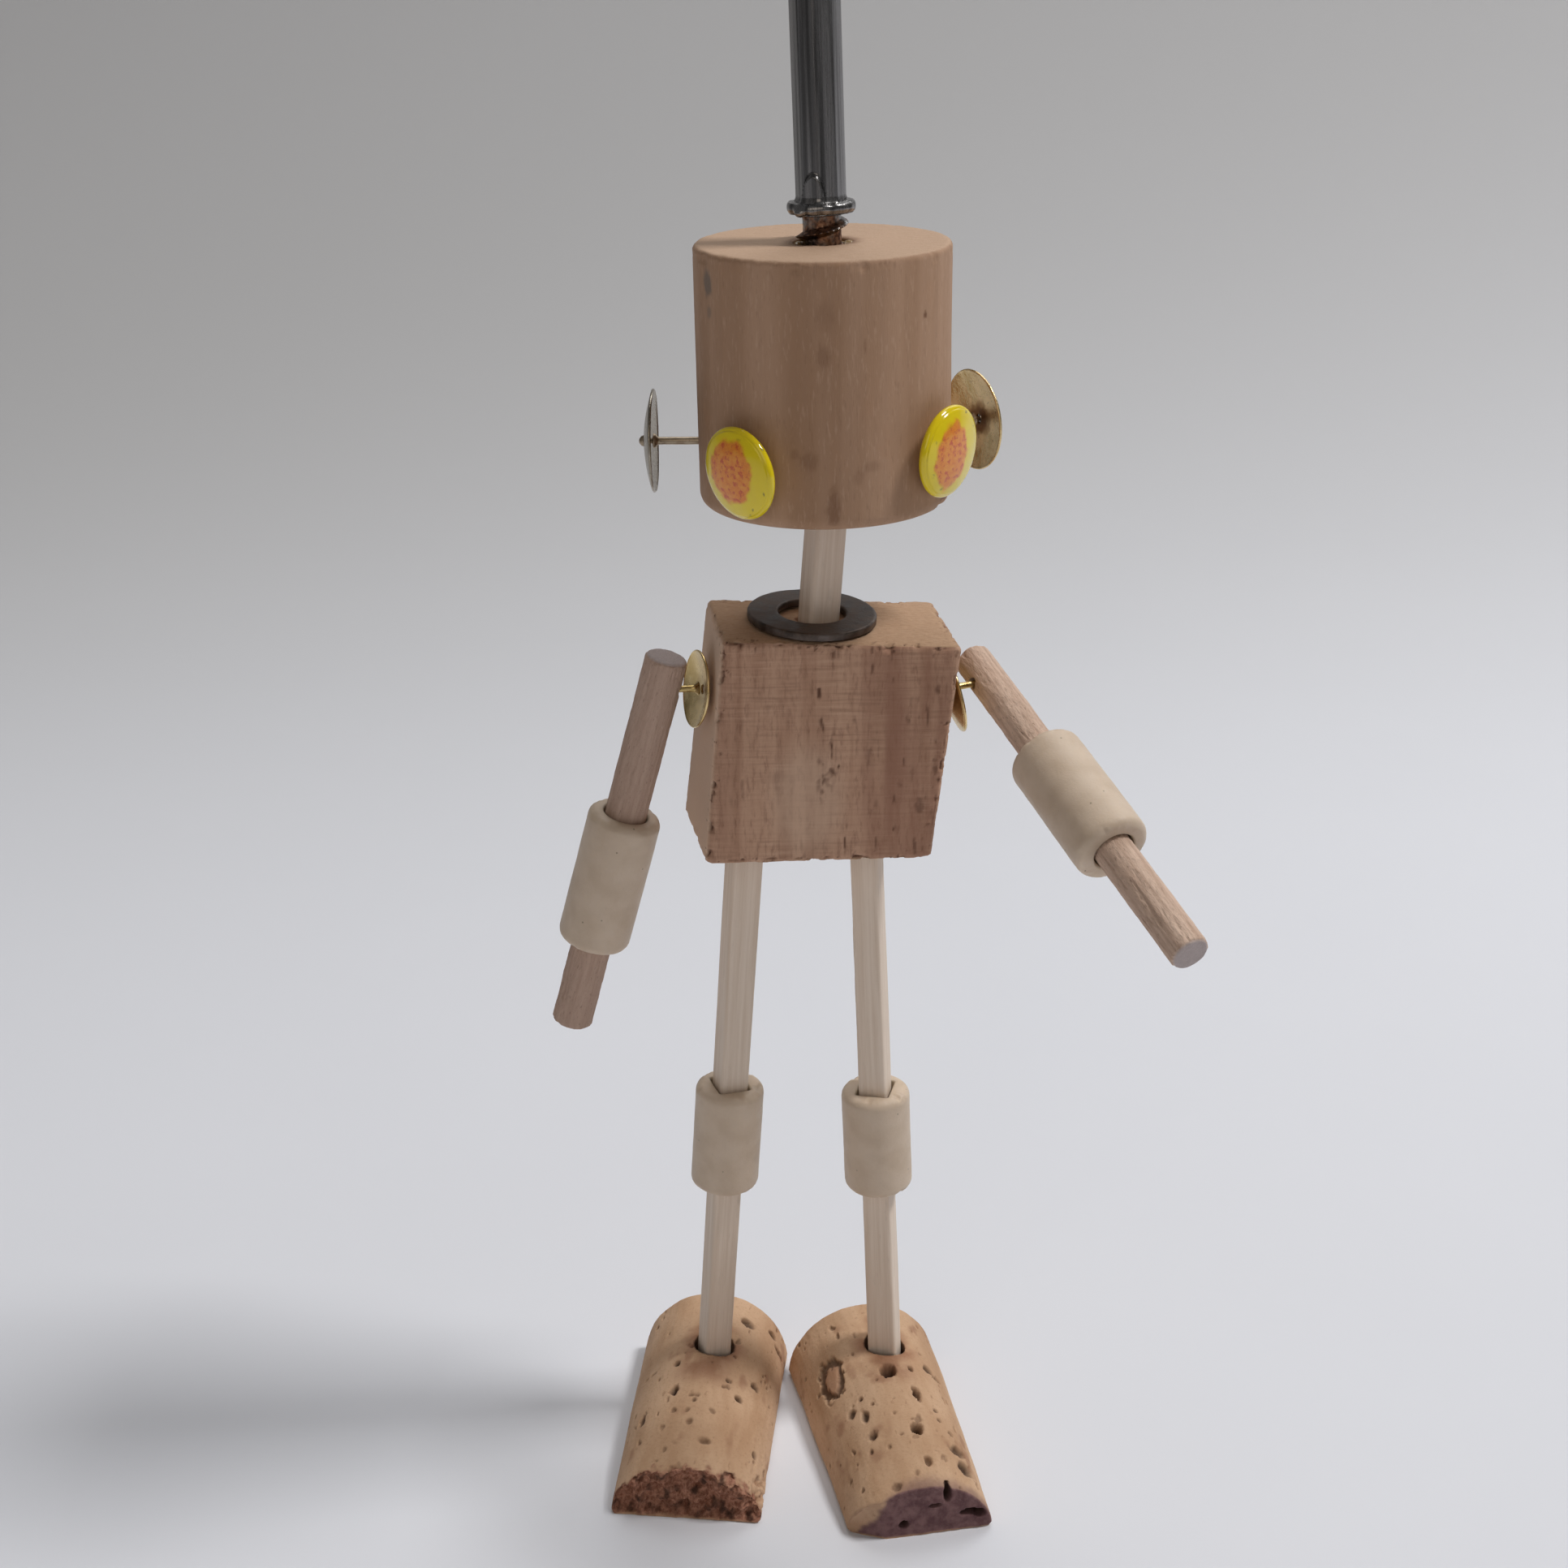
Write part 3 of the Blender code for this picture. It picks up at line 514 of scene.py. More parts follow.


# ---------------------------------------------------------------- head

HEAD_MARKS = (
    # angle from the front towards the figure's left, depth below the top, half width, half height, strength
    (-61, 3.0, 1.0, 1.7, 0.75),
    (-60, 6.4, 0.6, 0.8, 0.5),
    (49, 6.5, 0.42, 0.5, 0.85),
    (17, 9.2, 0.3, 0.9, 0.35),
    (0, 5.5, 1.3, 1.8, 0.18),
    (-1, 10.3, 0.9, 1.5, 0.28),
    (-8, 22.8, 1.2, 1.4, 0.35),
    (-14, 22.0, 0.6, 0.8, 0.3),
    (3, 28.8, 0.9, 3.0, 0.5),
    (14, 25.0, 0.8, 1.0, 0.2),
    (20, 23.8, 1.3, 0.7, 0.22),
    (68, 30.4, 1.5, 0.8, 0.7),
)

CHIP_DEPTH = 31.4  # the last mark is a chip in the lower edge, this far below the top


def make_head():
    middle, up = flat_face("head_block", (0, 0, 1))
    frame = axes(middle, up)
    mesh = fine_mesh("head_block", frame, 0.3)
    p, n = read(mesh)
    radius = np.hypot(p[:, 0], p[:, 1])
    side = ease(0.5, 0.85, 1 - np.abs(n[:, 2]))
    top = ease(0.6, 0.9, n[:, 2])
    grain = fractal(p, (1.7, 1.7, 0.06), 3)
    rise = side * (0.035 * grain + 0.12 * fractal(p, (0.16, 0.16, 0.05), 5, 2))
    rise += top * (0.05 * fractal(p, 1.3, 7) - 0.05 * ease(0.1, 0.5, fractal(p, (0.5, 2.4, 1), 9)))
    outer = radius.max()
    rim = ease(0.9, 0.2, np.hypot(np.minimum(outer - radius, 5), p[:, 2]))
    rise -= rim * 0.28 * ease(0.0, 0.6, fractal(p, 0.9, 11))
    angle = np.degrees(np.arctan2(p[:, 0], -p[:, 1]))
    stain, grey = np.zeros(len(p)), np.zeros(len(p))
    wobble = 0.45 * fractal(p, 1.1, 21)
    for at, depth, wide, high, strength in HEAD_MARKS:
        across = np.radians((angle - at + 180) % 360 - 180) * outer
        off = np.hypot(across / wide, (p[:, 2] + depth) / high) + wobble
        shape = ease(1.2, 0.5, off) * side * strength
        target = grey if at < -50 else stain
        np.maximum(target, shape, out=target)
    across = np.radians(angle - HEAD_MARKS[-1][0]) * outer
    rise -= 0.8 * ease(1.3, 0.4, np.hypot(across / 1.3, p[:, 2] + CHIP_DEPTH))
    rod = (ROD.translation - middle) @ frame.to_3x3()
    from_rod = np.hypot(p[:, 0] - rod.x, p[:, 1] - rod.y)
    ring = ease(5.3, 3.3, from_rod + 0.9 * fractal(p, 0.7, 31)) * top
    np.maximum(stain, 0.75 * ring, out=stain)
    move(mesh, p + n * rise[:, None])
    mark(mesh, "end", top)
    mark(mesh, "stain", stain)
    mark(mesh, "grey", grey)
    link("head", mesh, frame, "head", "turned_wood", ["head_block"])


EYE_PATCH = {
    # noise seed, middle across and up, share of the cap's radius, flattening of the worn orange patch
    "right": (51, 0.35, -0.35, 0.60, 0.85),
    "left": (57, 0.9, 0.25, 0.52, 0.72),
}


def make_eye(side):
    frame, radius, height = turned_axes(side + "_eye_cap", EYE_WAY[side], flat=True)
    lip, rim = 0.55, 0.95
    crown = [(radius * s, rim + (height - rim) * (1 - s**2.3)) for s in np.linspace(0.93, 0.02, 26)]
    outline = [(0.3, 0.05)] + dense([(radius - 1.0, 0.05), (radius - 0.3, 0.0)], 0.2)
    outline += arc((radius - lip, lip), lip, -60, 75, 12) + crown
    mesh = mesh_from(side + "_eye", *lathe(outline, 96))
    p, _ = read(mesh)
    off = np.hypot(p[:, 0], p[:, 1])
    p[:, 2] += 0.05 * fractal(p, 0.35, 41, 2) * ease(radius, radius * 0.8, off)
    move(mesh, p)
    seed, across, up, share, flat = EYE_PATCH[side]
    wobble = fractal(p, 0.75, seed, 4)
    size = radius * share
    patch = np.hypot(p[:, 0] - across, (p[:, 1] - up) * flat)
    worn = ease(size + 0.25, size - 0.25, patch + 0.7 * wobble) * ease(0.6, rim, p[:, 2])
    mark(mesh, "worn", worn)
    chips = ease(0.52, 0.62, fractal(p, 1.5, seed + 3, 3)) * ease(radius * 0.72, radius * 0.86, off)
    mark(mesh, "chip", chips * ease(0.2, 0.5, p[:, 2]))
    link(side + "_eye", mesh, frame, "head", "yellow_enamel", [side + "_eye_cap"])


def dished(radius, hole, depth, thick, bead):
    """Section of a dished shell with a rolled rim, its rim at height 0."""
    outer, inner = [], []
    for share in np.linspace(0, 1, 30):
        r = hole + (radius - hole) * share
        rise = depth * (1 - share**1.7)
        outer.append((r, rise + thick * 0.5))
        inner.append((r, rise - thick * 0.5))
    roll = [(radius - bead + bead * math.cos(a), bead * math.sin(a)) for a in np.linspace(-1.4, 1.4, 9)]
    return inner[:-1] + roll + outer[-2::-1]


SHELL_THICK, SHELL_BEAD, SHELL_HOLE, SHELL_SEAT = 0.3, 0.2, 0.62, 0.4


def make_shell(name, node, towards, body, rust_and_shade, look):
    """A drawing pin's brass dish, its crown towards the given way."""
    frame, radius, height = turned_axes(node, towards, flat=True)
    section = dished(radius - 0.05, SHELL_HOLE, height - 0.5, SHELL_THICK, SHELL_BEAD)
    mesh = mesh_from(name, *lathe(section, 112, ring=True))
    p, _ = read(mesh)
    off = np.hypot(p[:, 0], p[:, 1])
    p[:, 2] += SHELL_SEAT + 0.05 * fractal(p, 0.3, 61, 2)
    ripple = np.cos(2 * np.arctan2(p[:, 1], p[:, 0])) * (off / radius) ** 2
    p[:, 2] += 0.06 * ripple
    move(mesh, p)
    # painted shade: the dish's hollow centre round the pin is darkened, together with its rust
    mark(mesh, "rust_and_shade", rust_and_shade * ease(3.0, 1.4, off + 1.1 * fractal(p, 0.7, 67)))
    mark(mesh, "dull", np.full(len(p), 0.85 if name == "right_ear" else 0.0))
    link(name, mesh, frame, body, "brass", [node], look)


def make_ear_pin(side):
    frame, _, length = turned_axes(side + "_ear_pin", OUTWARD[side])
    wire = 0.48
    outline = dense([(0.05, 0.0), (wire, 1.6), (wire, length - 2.6)], 0.4)
    outline += [(wire + 0.06, length - 2.4), (0.85, length - 2.15), (0.95, length - 1.85)]
    outline += [(0.34, length - 1.7), (0.34, length - 0.75), (0.72, length - 0.6), (0.6, length - 0.3)]
    outline += [(0.28, length - 0.05), (0.05, length)]
    mesh = mesh_from(side + "_ear_wire", *lathe(outline, 32), 50)
    p, n = read(mesh)
    move(mesh, p + n * (0.025 * fractal(p, 2.2, 71))[:, None])
    link(side + "_ear_wire", mesh, frame, "head", "pin_steel", [side + "_ear_pin"])


def make_eye_pin(side):
    frame, radius, length = turned_axes(side + "_eye_pin", EYE_WAY[side])
    outline = dense([(0.05, 0.0), (radius, 1.6), (radius, length)], 0.5)
    mesh = mesh_from(side + "_eye_wire", *lathe(outline, 24), 50)
    link(side + "_eye_wire", mesh, frame, "head", "pin_steel", [side + "_eye_pin"])


# ---------------------------------------------------------------- rod


THREAD_TOP, THREAD_LENGTH, THREAD_PITCH, THREAD_CORE, THREAD_RISE = -0.35, 16, 3.1, 2.35, 0.95
COLLAR_HEIGHT, COLLAR_NECK, COLLAR_BULGE = 1.3, 3.72, 0.5
SHAFT_RADIUS = 3.08
SHAFT_FLATS = ((201, 0.92), (246, 0.965), (286, 0.955), (330, 0.93))  # direction, share of the radius
TAB_WAY, TAB_HALF, TAB_HEIGHT, TAB_RISE = 252, 27, 3.6, 0.42  # a raised tab with a round top over the collar


def rod_surface(angle, height):
    """Radius of the rod about its axis at a height above the collar's underside."""
    if height < THREAD_TOP:
        turn = (angle / (2 * math.pi) - height / THREAD_PITCH + 0.06) % 1.0
        crest = max(0.0, 1 - abs(2 * turn - 1) / 0.4)
        end = min(1.0, max(0.0, (height + THREAD_LENGTH) / 4))
        return (THREAD_CORE + THREAD_RISE * crest**1.25) * (0.35 + 0.65 * end)
    if height < 0:
        return 2.6 + 4.4 * (height - THREAD_TOP)
    if height < COLLAR_HEIGHT:
        bulge = math.sqrt(max(0.0, 1 - (height / (COLLAR_HEIGHT / 2) - 1) ** 2))
        return COLLAR_NECK + COLLAR_BULGE * bulge
    radius = SHAFT_RADIUS
    for way, share in SHAFT_FLATS:
        turn = math.cos(angle - math.radians(way))
        if turn > 0:
            radius = min(radius, share * SHAFT_RADIUS / turn)
    tab = abs((math.degrees(angle) - TAB_WAY + 180) % 360 - 180)
    arch = COLLAR_HEIGHT + TAB_HEIGHT * math.sqrt(max(0.0, 1 - (tab / TAB_HALF) ** 2))
    if tab < TAB_HALF:
        radius += TAB_RISE * min(1.0, max(0.0, (arch - height) / 0.45))
    foot = min(1.0, max(0.0, (2.0 - height) / 0.7))
    return radius + 0.3 * foot**2


def make_rod():
    top = (Vector(MOUNTS["rod_end"]["pos_m"]) / MM - ROD.translation).length
    heights = list(np.arange(-THREAD_LENGTH, THREAD_TOP, 0.13)) + list(np.arange(THREAD_TOP, 6.4, 0.1))
    heights += list(np.arange(6.4, top - 0.6, 0.8)) + [top - 0.6, top - 0.35, top - 0.1, top]
    segments = 144
    verts = []
    for height in heights:
        trim = max(0.0, height - top + 0.6) * 0.9
        for angle in np.linspace(0, 2 * math.pi, segments, endpoint=False):
            radius = rod_surface(angle, height) - trim
            verts.append((radius * math.cos(angle), radius * math.sin(angle), height))
    faces = [tuple(range(segments))[::-1]]
    for k in range(len(heights) - 1):
        for i in range(segments):
            j = (i + 1) % segments
            a, b = k * segments, (k + 1) * segments
            faces.append((a + i, a + j, b + j, b + i))
    faces.append(tuple((len(heights) - 1) * segments + i for i in range(segments)))
    mesh = mesh_from("rod", verts, faces, 28)
    p, n = read(mesh)
    angle = np.degrees(np.arctan2(p[:, 1], p[:, 0])) % 360
    collar = ease(-0.4, 0.0, p[:, 2]) * ease(1.7, 1.2, p[:, 2])
    rise = collar * (0.12 * fractal(p, 0.8, 81, 2))
    burr = ease(14, 3, np.abs(angle - 228)) * ease(0.6, 0.1, np.abs(p[:, 2] - 0.25))
    rise += 0.4 * burr + ease(-0.3, -0.8, p[:, 2]) * 0.09 * fractal(p, 1.5, 83)
    move(mesh, p + n * rise[:, None])
    mark(mesh, "rust_and_shade", ease(0.1, -0.5, p[:, 2]) * ease(-0.35, 0.25, fractal(p, 0.8, 87)))
    link("rod", mesh, ROD, "head", "rod_steel", ["control_rod"])


def make_rod_glue():
    """A low uneven ring of glue where the thread enters the head."""
    middle, up = flat_face("head_block", (0, 0, 1))
    frame = axes(Vector((ROD.translation.x + 0.13, ROD.translation.y, middle.z)), up)
    outline = [(2.6, -0.5), (4.1, -0.3)] + arc((3.2, -0.2), 0.85, 0, 120, 9) + [(2.6, 0.35)]
    mesh = mesh_from("rod_glue", *lathe(outline, 96, ring=True))
    p, _ = read(mesh)
    angle = np.arctan2(p[:, 1], p[:, 0])
    lumps = fractal(np.stack([np.cos(angle) * 2, np.sin(angle) * 2, angle * 0], 1), 1.0, 91)
    p[:, :2] *= (1 + 0.10 * lumps * ease(-0.3, 0.1, p[:, 2]))[:, None]
    p[:, 2] = np.where(p[:, 2] > -0.2, -0.2 + (p[:, 2] + 0.2) * (0.75 + 0.6 * lumps), p[:, 2])
    move(mesh, p)
    link("rod_glue", mesh, frame, "head", "turned_wood", look="glue")


# ---------------------------------------------------------------- neck, washer and body


def stick_axes(node, joint):
    """Frame of a square stick: Z on its line, -Y along the normal of its widest side towards the front."""
    line = Vector(JOINTS[joint]["axis"]).normalized()
    sides = [p for p in NODES[node].data.polygons if abs(p.normal.dot(line)) < 0.05]
    front = max((p for p in sides if p.normal.y < -0.5), key=lambda p: p.area)
    middle = Vector(node_points(node).mean(0))
    return axes(middle, line, front.normal)


def make_stick(name, node, joint, seed):
    frame = stick_axes(node, joint)
    mesh = fine_mesh(node, frame, 0.2)
    p, n = read(mesh)
    rise = 0.035 * fractal(p, (1.6, 1.6, 0.05), seed) + 0.05 * fractal(p, (0.3, 0.3, 0.08), seed + 5, 2)
    rise -= 0.05 * ease(0.35, 0.6, fractal(p, (3.0, 3.0, 0.12), seed + 9, 2))
    move(mesh, p + n * rise[:, None])
    link(name, mesh, frame, "torso", "stick_wood", [node])


def make_washer():
    frame, radius, thick = turned_axes("neck_washer", (0, 0, 1), flat=True)
    points = node_points("neck_washer")
    inner = np.linalg.norm(points - points.mean(0), axis=1).min()
    soft, crisp = 0.3, 0.08
    outline = dense([(inner + crisp, 0.0), (radius - crisp, 0.0)], 0.3)
    outline += arc((radius - crisp, crisp), crisp, -80, 0, 4)
    outline += arc((radius - soft, thick - soft), soft, 0, 90, 7)
    outline += dense([(radius - soft - 0.2, thick), (inner + soft, thick)], 0.3)
    outline += arc((inner + soft, thick - soft), soft, 100, 180, 6) + [(inner, crisp)]
    mesh = mesh_from("washer", *lathe(outline, 160, ring=True))
    p, n = read(mesh)
    off = np.hypot(p[:, 0], p[:, 1])
    move(mesh, p + n * (0.035 * fractal(p, 0.9, 101))[:, None])
    worn = np.maximum(ease(radius - 0.5, radius - 0.1, off), ease(inner + 0.5, inner + 0.1, off))
    mark(mesh, "edge", worn * ease(-0.2, 0.5, fractal(p, 0.8, 105)) * 0.7)
    link("washer", mesh, frame, "washer", "washer_steel", ["neck_washer"])


def edge_distance(p, frame, node, ways):
    """How far each surface point is from the nearest edge between two of the node's flat faces."""
    into = frame.inverted()
    gaps = []
    for way in ways:
        middle, normal = flat_face(node, way)
        middle, normal = into @ middle, into.to_3x3() @ normal
        gaps.append(np.abs((np.array(middle) - p) @ np.array(normal)))
    return np.sort(np.array(gaps), axis=0)[1]


WAYS = ((0, -1, 0), (0, 1, 0), (-1, 0, 0), (1, 0, 0), (0, 0, 1), (0, 0, -1))
SAW_PITCH = 0.62  # between the saw's marks


def make_torso():
    low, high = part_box("torso_block")
    frame = Matrix.Translation((low + high) / 2 / MM)
    mesh = fine_mesh("torso_block", frame, 0.23)
    p, n = read(mesh)
    flank, front, top = (ease(0.6, 0.9, np.abs(n[:, axis])) for axis in range(3))
    x, z = p[:, 0], p[:, 2]
    patch = ease(-0.3, 0.4, fractal(p, (0.12, 0.12, 0.1), 111))
    kerf = np.sin(2 * math.pi * (z / SAW_PITCH + 0.5 * fractal(p, (0.08, 0.08, 0.5), 113)))
    broken = ease(-0.2, 0.5, fractal(p, (0.5, 0.5, 3.5), 115))
    saw = 0.045 * kerf * broken * (0.35 + 0.65 * patch)
    rise = front * (saw + 0.05 * fractal(p, (1.5, 1.5, 3.0), 117))
    grooves = fractal(p, (1.7, 1.0, 0.22), 119)
    band = np.exp(-(((x + 0.1 * z - 1.8) / 2.2) ** 2)) + 0.45 * ease(4.5, 7.0, x)
    pits = ease(0.12, 0.42, grooves) * ease(-0.1, 0.4, fractal(p, (0.9, 0.9, 0.7), 121))
    pits = pits * (0.25 + band)
    rise -= (front + 0.4 * flank) * 0.26 * pits
    edge = edge_distance(p, frame, "torso_block", WAYS)
    nick = ease(0.05, 0.55, fractal(p, (0.8, 0.8, 1.1), 123))
    rise -= ease(1.3, 0.1, edge) * (0.75 * nick + 0.1)
    fibre = 0.07 * fractal(p, (0.8, 2.6, 1), 125)
    rise += top * (fibre - 0.10 * ease(0.25, 0.5, fractal(p, (0.35, 1.9, 1), 127)))
    move(mesh, p + n * rise[:, None])
    clear = 0.5 * front * ease(6.5, 2.5, np.hypot(x + 1.5, (z + 7) * 0.6))
    ends = 0.75 * ease(4.0, 8.5, x) + 0.35 * ease(-9.0, -13.5, x)
    mark(mesh, "end", top)
    # painted light: faces turned to the figure's right are coloured paler, as if lit; the clear patch on the front
    # is a real paler patch of the wood
    mark(mesh, "pale", np.maximum(ease(-0.5, -0.85, n[:, 0]), clear))
    mark(mesh, "warm", front * ends * ease(-0.6, 0.4, fractal(p, (0.5, 0.5, 0.05), 131)))
    specks = ease(0.35, 0.55, fractal(p, (2.2, 2.2, 1.3), 133)) * ease(2.2, 0.3, edge)
    chips = np.maximum(0.9 * specks, ease(0.9, 0.2, edge) * nick)
    mark(mesh, "pit", np.maximum(0.75 * pits * front, chips))
    link("torso", mesh, frame, "torso", "sawn_wood", ["torso_block"])


# ---------------------------------------------------------------- arms, tubes and shoulders


def make_dowel(side):
    joint = JOINTS[side + "_elbow_slide"]
    hinge = Vector(JOINTS[side + "_shoulder"]["pos_m"]) / MM
    frame = axes(hinge, joint["axis"])
    node = side + "_arm_dowel"
    mesh = fine_mesh(node, frame, 0.15)
    p, n = read(mesh)
    seed = 141 if side == "right" else 161
    around = 1 - ease(0.5, 0.9, np.abs(n[:, 2]))
    rise = around * 0.075 * fractal(p, (1.3, 1.3, 0.16), seed)
    rise += around * 0.085 * fractal(p, (2.2, 2.2, 0.7), seed + 4, 4)
    rise -= around * 0.12 * ease(0.25, 0.5, fractal(p, (2.4, 2.4, 0.3), seed + 8))
    end = ease(0.6, 0.9, np.abs(n[:, 2]))
    rise += end * 0.08 * fractal(p, 1.6, seed + 12)
    rim = ease(0.8, 0.1, np.minimum(p[:, 2].max() - p[:, 2], p[:, 2] - p[:, 2].min()))
    rise -= around * rim * 0.3 * ease(-0.1, 0.5, fractal(p, 1.2, seed + 16))
    move(mesh, p + n * rise[:, None])
    mark(mesh, "end", end)
    # the right dowel takes most of the darker copy of the colour, the left little
    mark(mesh, "darker_copy", np.full(len(p), 0.85 if side == "right" else 0.12))
    link(side + "_dowel", mesh, frame, side + "_arm", "dowel_wood", [node])


def bore_radius(angle, hole):
    """Radius of a tube's hole: round, or a soft square round a stick with the given half side."""
    half, size = hole
    if not half:
        return np.full(len(angle), size)
    turn = np.abs((angle + math.pi / 4) % (math.pi / 2) - math.pi / 4)
    return np.minimum((half + 0.17) / np.cos(turn), size)


def tube_section(outer, length):
    """The tube's section as (share of the hole's radius, radius beyond that share, height)."""
    edge, lip = 1.15, 0.35
    section = [(1.0, 0.0, z) for _, z in dense([(0, length - lip), (0, lip)], 0.8)]
    section += [(1.0, r, z) for r, z in arc((lip, lip), lip, 190, 270, 5)]
    section += [(0.0, r, z) for r, z in arc((outer - edge, edge), edge, -88, 0, 9)]
    wall = dense([(outer, edge + 0.3), (outer, length - edge - 0.3)], 0.45)
    section += [(0.0, r, z) for r, z in wall]
    section += [(0.0, r, z) for r, z in arc((outer - edge, length - edge), edge, 0, 88, 9)]
    section += [(1.0, r, z) for r, z in arc((lip, length - lip), lip, 90, 170, 5)]
    return section


def make_tube(name, node, body, seed, worn, hole):
    """A cut piece of tube; hole is the half side of its stick, or 0 if it's round, and its largest radius."""
    frame, outer, length = turned_axes(node, JOINTS[body + "_slide"]["axis"])
    if hole[0]:
        place = frame.translation.copy()
        frame = stick_axes(node.replace("knee_tube", "leg_stick"), body + "_slide")
        frame.translation = place
    section = tube_section(outer, length)
    verts, faces = lathe([(1.0, z) for _, _, z in section], 128, ring=True)
    p = np.array(verts)
    wall = bore_radius(np.arctan2(p[:, 1], p[:, 0]), hole)
    share = np.tile([s for s, _, _ in section], 128)
    extra = np.tile([r for _, r, _ in section], 128)
    p[:, :2] *= (share * wall + extra)[:, None]
    mesh = mesh_from(name, p, faces)
    p, n = read(mesh)
    beyond = np.hypot(p[:, 0], p[:, 1]) - wall
    outside = ease(0.6, 1.2, beyond)
    rise = outside * (0.045 * fractal(p, 0.35, seed, 2) + 0.012 * fractal(p, 2.0, seed + 3))
    ends = ease(1.2, 0.2, np.minimum(p[:, 2], length - p[:, 2])) * outside
    rise -= ends * worn * ease(0.0, 0.6, fractal(p, 0.8, seed + 6))
    move(mesh, p + n * rise[:, None])
    # painted shade: the bore's wall and inner lip are darkened
    mark(mesh, "bore_shade", 0.6 * ease(0.5, 0.05, beyond))
    link(name, mesh, frame, body, "tube_plastic", [node])


def make_shoulder_pin(side):
    towards = Vector(JOINTS[side + "_shoulder"]["axis"])
    frame, _, length = turned_axes(side + "_shoulder_pin", towards)
    wire = 0.45
    outline = dense([(0.8, 0.0), (0.95, 0.2), (wire + 0.1, 0.6), (wire, 1.0), (wire, length - 1.4)], 0.3)
    outline += [(0.3, length - 0.6), (0.06, length)]
    mesh = mesh_from(side + "_shoulder_wire", *lathe(outline, 32), 50)
    p, n = read(mesh)
    move(mesh, p + n * (0.03 * fractal(p, 1.6, 191))[:, None])
    node = side + "_shoulder_pin"
    link(side + "_shoulder_wire", mesh, frame, "torso", "pin_steel", [node], "gold_pin")


# ---------------------------------------------------------------- feet

CORK_PITS = {
    # across, distance from the toe end, half width, half length, depth; on the barrel of each cork
    "right": (
        (-4.3, 21.8, 0.5, 0.55, 0.6), (-3.8, 16.0, 0.7, 0.8, 0.9), (-0.6, 9.4, 0.6, 0.7, 0.8),
        (1.9, 6.5, 1.0, 0.6, 0.9), (5.8, 16.4, 0.55, 0.6, 0.8), (7.8, 21.0, 0.6, 0.7, 0.5),
        (5.1, 33.5, 1.1, 0.8, 0.5), (8.8, 35.5, 0.6, 0.6, 0.5), (9.8, 34.0, 0.5, 0.5, 0.5),
        (3.9, 19.0, 0.3, 0.4, 0.4), (-0.4, 13.8, 0.3, 0.4, 0.3), (-7.9, 12.0, 0.5, 1.4, 0.5),
        (9.1, 8.5, 0.4, 0.6, 0.7), (-3.5, 5.0, 0.3, 0.4, 0.3),
    ),
    "left": (
        (-0.2, 23.4, 1.15, 1.3, 2.2), (3.2, 18.7, 0.6, 1.3, 1.6), (1.3, 11.2, 0.95, 1.2, 2.2),
        (1.8, 5.6, 0.6, 0.8, 1.4), (6.6, 25.6, 0.7, 0.9, 0.5), (3.6, 24.1, 0.35, 0.55, 0.8),
        (6.9, 8.5, 1.1, 0.9, 0.6), (7.5, 5.7, 1.1, 1.1, 0.8), (-5.0, 11.7, 0.9, 0.8, 0.6),
        (-6.8, 17.6, 0.6, 0.8, 0.5), (-5.2, 15.8, 0.5, 1.1, 0.6), (-5.2, 19.2, 0.4, 0.5, 0.5),
        (-3.1, 8.7, 0.3, 0.4, 0.4), (5.4, 15.7, 0.35, 0.45, 0.4), (5.5, 13.7, 0.35, 0.4, 0.4),
        (-0.2, 3.7, 0.35, 0.5, 0.4), (-5.7, 9.2, 0.3, 0.4, 0.4), (-3.5, 2.4, 0.7, 0.6, 0.7),
    ),
}
CORK_RING = (-8.0, 26.3, 1.7, 3.9)  # a worn crater on the left cork: across, from the toe end, half sizes
WINE_CRACKS = (
    # across, height, half width, half height; dark gaps in the left cork's cut face
    (3.6, 6.4, 0.55, 1.3), (7.1, 2.8, 1.9, 0.5), (8.4, 2.4, 0.9, 0.6), (-2.6, 2.0, 0.8, 0.6),
    (1.9, 4.7, 0.9, 0.3),
)


def foot_axes(side):
    """Frame on the floor under the cork's middle, -Y towards the toe."""
    points = node_points(side + "_foot_cork")
    spread = np.cov((points[:, :2] - points[:, :2].mean(0)).T)
    toe = np.linalg.eigh(spread)[1][:, 1]
    toe = toe * np.sign(-toe[1])
    return axes((*points[:, :2].mean(0), 0.0), (0, 0, 1), (*toe, 0.0))


def leg_offset(side, frame, p):
    """Place of each point across and along the cork, measured from the leg's middle line."""
    joint = JOINTS[side + "_foot_turn"]
    hole = frame.inverted() @ (Vector(joint["pos_m"]) / MM)
    lean = frame.to_3x3().inverted() @ Vector(joint["axis"])
    rise = p[:, 2] - hole.z
    return np.stack([
        p[:, 0] - hole.x - lean.x / lean.z * rise, p[:, 1] - hole.y - lean.y / lean.z * rise
    ], 1)


